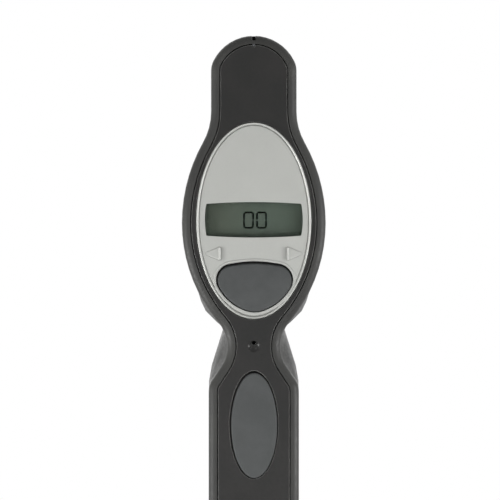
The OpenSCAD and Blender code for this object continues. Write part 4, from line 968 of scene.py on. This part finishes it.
brow_cushion()

# Cells: a steel can, a printed sleeve without text and a pale band at the plus end

CELL_SKIN = 0.12 * MM
CELL_POINTS = 96
SLEEVE_ROLL = 0.1 * MM
SLEEVE_MARGIN = 0.6 * MM
BAND_SHARE = 0.8
NUB_L = 1.0 * MM
NUB_R = 2.6 * MM
NUB_ROUND = 0.25 * MM

# Profiles in mm: inset from the can's side and place from its foot or head, then outset from the nub
CAN_FOOT = ((1.6, 0.25), (1.2, 0.02), (0.5, 0.0), (0.1, 0.15), (0.0, 0.45))
CAN_HEAD = ((0.0, -0.5), (0.15, -0.2), (0.7, -0.05), (1.4, -0.3))
NUB_FOOT = ((0.9, -0.35), (0.15, -0.2), (0.0, 0.0))


def sleeve(name, place, radius, z0, z1, material):
    """A thin tube with rolled ends."""
    inner, bent = radius - CELL_SKIN, radius - SLEEVE_ROLL / 2
    loop = [(inner, z0), (bent, z0), (radius, z0 + SLEEVE_ROLL),
            (radius, z1 - SLEEVE_ROLL), (bent, z1), (inner, z1)]
    rings = [[(place.x + r * math.cos(a), place.y + r * math.sin(a), z) for a in turn(CELL_POINTS)]
             for r, z in loop]
    mesh_piece(name, *looped(rings), material, "housing", "cell_can")


def cell(number, upright):
    low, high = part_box(f"aa_cell_{number}")
    place = Vector(((low.x + high.x) / 2, (low.y + high.y) / 2, 0))
    radius = (high.x - low.x) / 2
    foot, way = (low.z, 1) if upright else (high.z, -1)
    length = high.z - low.z - NUB_L
    can = radius - CELL_SKIN
    profile = [(can - inset * MM, along * MM) for inset, along in CAN_FOOT]
    profile += [(can - inset * MM, length + along * MM) for inset, along in CAN_HEAD]
    profile += [(NUB_R + outset * MM, length + along * MM) for outset, along in NUB_FOOT]
    profile += [(NUB_R, length + NUB_L - NUB_ROUND), (NUB_R - NUB_ROUND, length + NUB_L)]
    made = turned(f"cell_{number}_can", [(r, foot + way * along) for r, along in profile], place, "Z", STEEL,
                  "housing", "cell_can", CELL_POINTS)
    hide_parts(f"aa_cell_{number}")
    ends = [foot + way * along for along in (SLEEVE_MARGIN, length * BAND_SHARE, length - SLEEVE_MARGIN)]
    sleeve(f"cell_{number}_sleeve", place, radius, *sorted(ends[:2]), SLEEVE)
    sleeve(f"cell_{number}_band", place, radius, *sorted(ends[1:]), BAND)


for number in (1, 2, 3, 4):
    cell(number, upright=number < 3)

# Digits on the display

DIGIT_H = 3.85 * MM
DIGIT_W = 2.45 * MM
DIGIT_STROKE = 0.45 * MM
DIGIT_GAP = 0.14 * MM
DIGIT_PROUD = 0.03 * MM
DIGIT_SINK = 0.01 * MM
SEGMENT_CUT = 0.32
DIGIT_ROW_PIXEL = 220.1
DIGIT_SIDE_PIXELS = ((243.0, 254.1), (256.4, 266.7))
LCD_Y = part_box("lcd_glass")[0].y


def segment(x, z, length, upright):
    """Rings of one display segment with mitred ends, a thin plate on the cell."""
    half, t = length / 2, DIGIT_STROKE / 2
    bevel = half - t * (1 - SEGMENT_CUT)
    shape = [(-half, 0), (-bevel, t), (bevel, t), (half, 0), (bevel, -t), (-bevel, -t)]
    if upright:
        shape = [(b, a) for a, b in reversed(shape)]
    return [[(x + a, y, z + b) for a, b in shape] for y in (LCD_Y + DIGIT_SINK, LCD_Y - DIGIT_PROUD)]


def digits():
    """Two noughts of six segments each."""
    points, faces = [], []
    mid_z = TOP_Z - (DIGIT_ROW_PIXEL - TOP_PIXEL) * PIXEL
    w, h = (DIGIT_W - DIGIT_STROKE) / 2, (DIGIT_H - DIGIT_STROKE) / 2
    for left, right in DIGIT_SIDE_PIXELS:
        mid_x = ((left + right) / 2 - AXIS_PIXEL) * PIXEL
        bars = [(mid_x, mid_z + side * h, 2 * w - DIGIT_GAP, False) for side in (1, -1)]
        bars += [(mid_x + across * w, mid_z + side * h / 2, h - DIGIT_GAP, True)
                 for side in (1, -1) for across in (-1, 1)]
        for bar in bars:
            more, sides = stacked(segment(*bar))
            faces += [tuple(len(points) + i for i in side) for side in sides]
            points += more
    mesh_piece("display_digits", points, faces, DIGIT_INK, "housing", "lcd", 30)


digits()

# Camera

camera = bpy.data.objects.new("camera", bpy.data.cameras.new("camera"))
scene.collection.objects.link(camera)
camera.data.sensor_width = SENSOR
camera.data.lens = SENSOR * CAMERA_DISTANCE / (PHOTO_PIXELS * PIXEL)
camera.data.clip_end = 100
camera.location = ((PHOTO_PIXELS / 2 - AXIS_PIXEL) * PIXEL, PANEL_Y - CAMERA_DISTANCE,
                   TOP_Z - (PHOTO_PIXELS / 2 - TOP_PIXEL) * PIXEL)
camera.rotation_euler = (math.pi / 2, 0, 0)
scene.camera = camera

# Floor and backdrop, white to the rays that show them

FLOOR_R = 1.5
FLOOR_DROP = 0.05 * MM
FLOOR_FADE = (0.05, 0.36)
FLOOR_DARK = (0.80, 0.80, 0.80, 1)
FLOOR_LIGHT = (0.84, 0.84, 0.84, 1)
WHITE_LIGHT = (1, 1, 1, 1)
WORLD_STRENGTH = 0.2


def seen(tree):
    """1 for the rays that show the surroundings: those of the camera, of gloss and of the window."""
    ray = tree.nodes.new("ShaderNodeLightPath")
    value = ray.outputs["Is Camera Ray"]
    for kind in ("Is Glossy Ray", "Is Transmission Ray"):
        either = tree.nodes.new("ShaderNodeMath")
        either.operation = "MAXIMUM"
        tree.links.new(value, either.inputs[0])
        tree.links.new(ray.outputs[kind], either.inputs[1])
        value = either.outputs[0]
    return value


def floor_material():
    """Pale floor near the object that fades into the white backdrop."""
    p = Paint("floor_pale")
    p.colour(p.blend(p.noise(40 * MM), FLOOR_DARK, FLOOR_LIGHT))
    p.rough(p.uneven(5 * MM, 0.7, 0.85))
    fade = p.ramp(p.away((0, 0, 0)), *FLOOR_FADE, kind="SMOOTHERSTEP")
    p.mix_surface(p.maths("MULTIPLY", seen(p.tree), fade), p.node("ShaderNodeEmission"))
    return p.material


def floor():
    corners = [(x * FLOOR_R, y * FLOOR_R, 0) for x, y in ((-1, -1), (1, -1), (1, 1), (-1, 1))]
    made = bpy.data.objects.new("floor", bpy.data.meshes.new("floor"))
    made.data.from_pydata(corners, [], [(0, 1, 2, 3)])
    made.location = (0, 0, -FLOOR_DROP)
    scene.collection.objects.link(made)
    made.data.materials.append(floor_material())


def backdrop():
    """A world that lights softly and looks white."""
    world = bpy.data.worlds.new("studio")
    scene.world = world
    world.use_nodes = True
    tree = world.node_tree
    lit, white = tree.nodes["Background"], tree.nodes.new("ShaderNodeBackground")
    pick = tree.nodes.new("ShaderNodeMixShader")
    for shader, strength in ((lit, WORLD_STRENGTH), (white, 1.0)):
        shader.inputs["Color"].default_value = WHITE_LIGHT
        shader.inputs["Strength"].default_value = strength
    for k, socket in enumerate((seen(tree), lit.outputs[0], white.outputs[0])):
        tree.links.new(socket, pick.inputs[k])
    tree.links.new(pick.outputs[0], tree.nodes["World Output"].inputs["Surface"])


floor()
backdrop()

# Lamps: place, width, height and power, all turned to the head

HEAD = Vector((0, 0, 0.17))
LAMPS = {
    "left_box": ((-0.42, -0.12, 0.05), 0.3, 0.12, 1.9),
    "right_box": ((0.45, -0.12, 0.14), 0.3, 0.12, 1.5),
    "front_box": ((0.0, -0.33, 0.04), 0.3, 0.06, 0.45),
    "key_box": ((-0.4, -0.7, 0.55), 0.2, 0.2, 0.7),
    "fill_box": ((0.4, -0.7, 0.5), 0.15, 0.15, 0.35),
    "back_box": ((-0.05, 0.9, 0.4), 0.9, 0.6, 2.0),
}


def lamp(name, place, width, height, power):
    made = bpy.data.objects.new(name, bpy.data.lights.new(name, "AREA"))
    made.data.shape = "RECTANGLE"
    made.data.size = width
    made.data.size_y = height
    made.data.energy = power
    made.location = place
    made.rotation_euler = (HEAD - Vector(place)).to_track_quat("-Z", "Y").to_euler()
    made.visible_camera = False
    scene.collection.objects.link(made)


for name, settings in LAMPS.items():
    lamp(name, *settings)

scene.view_settings.view_transform = "Standard"
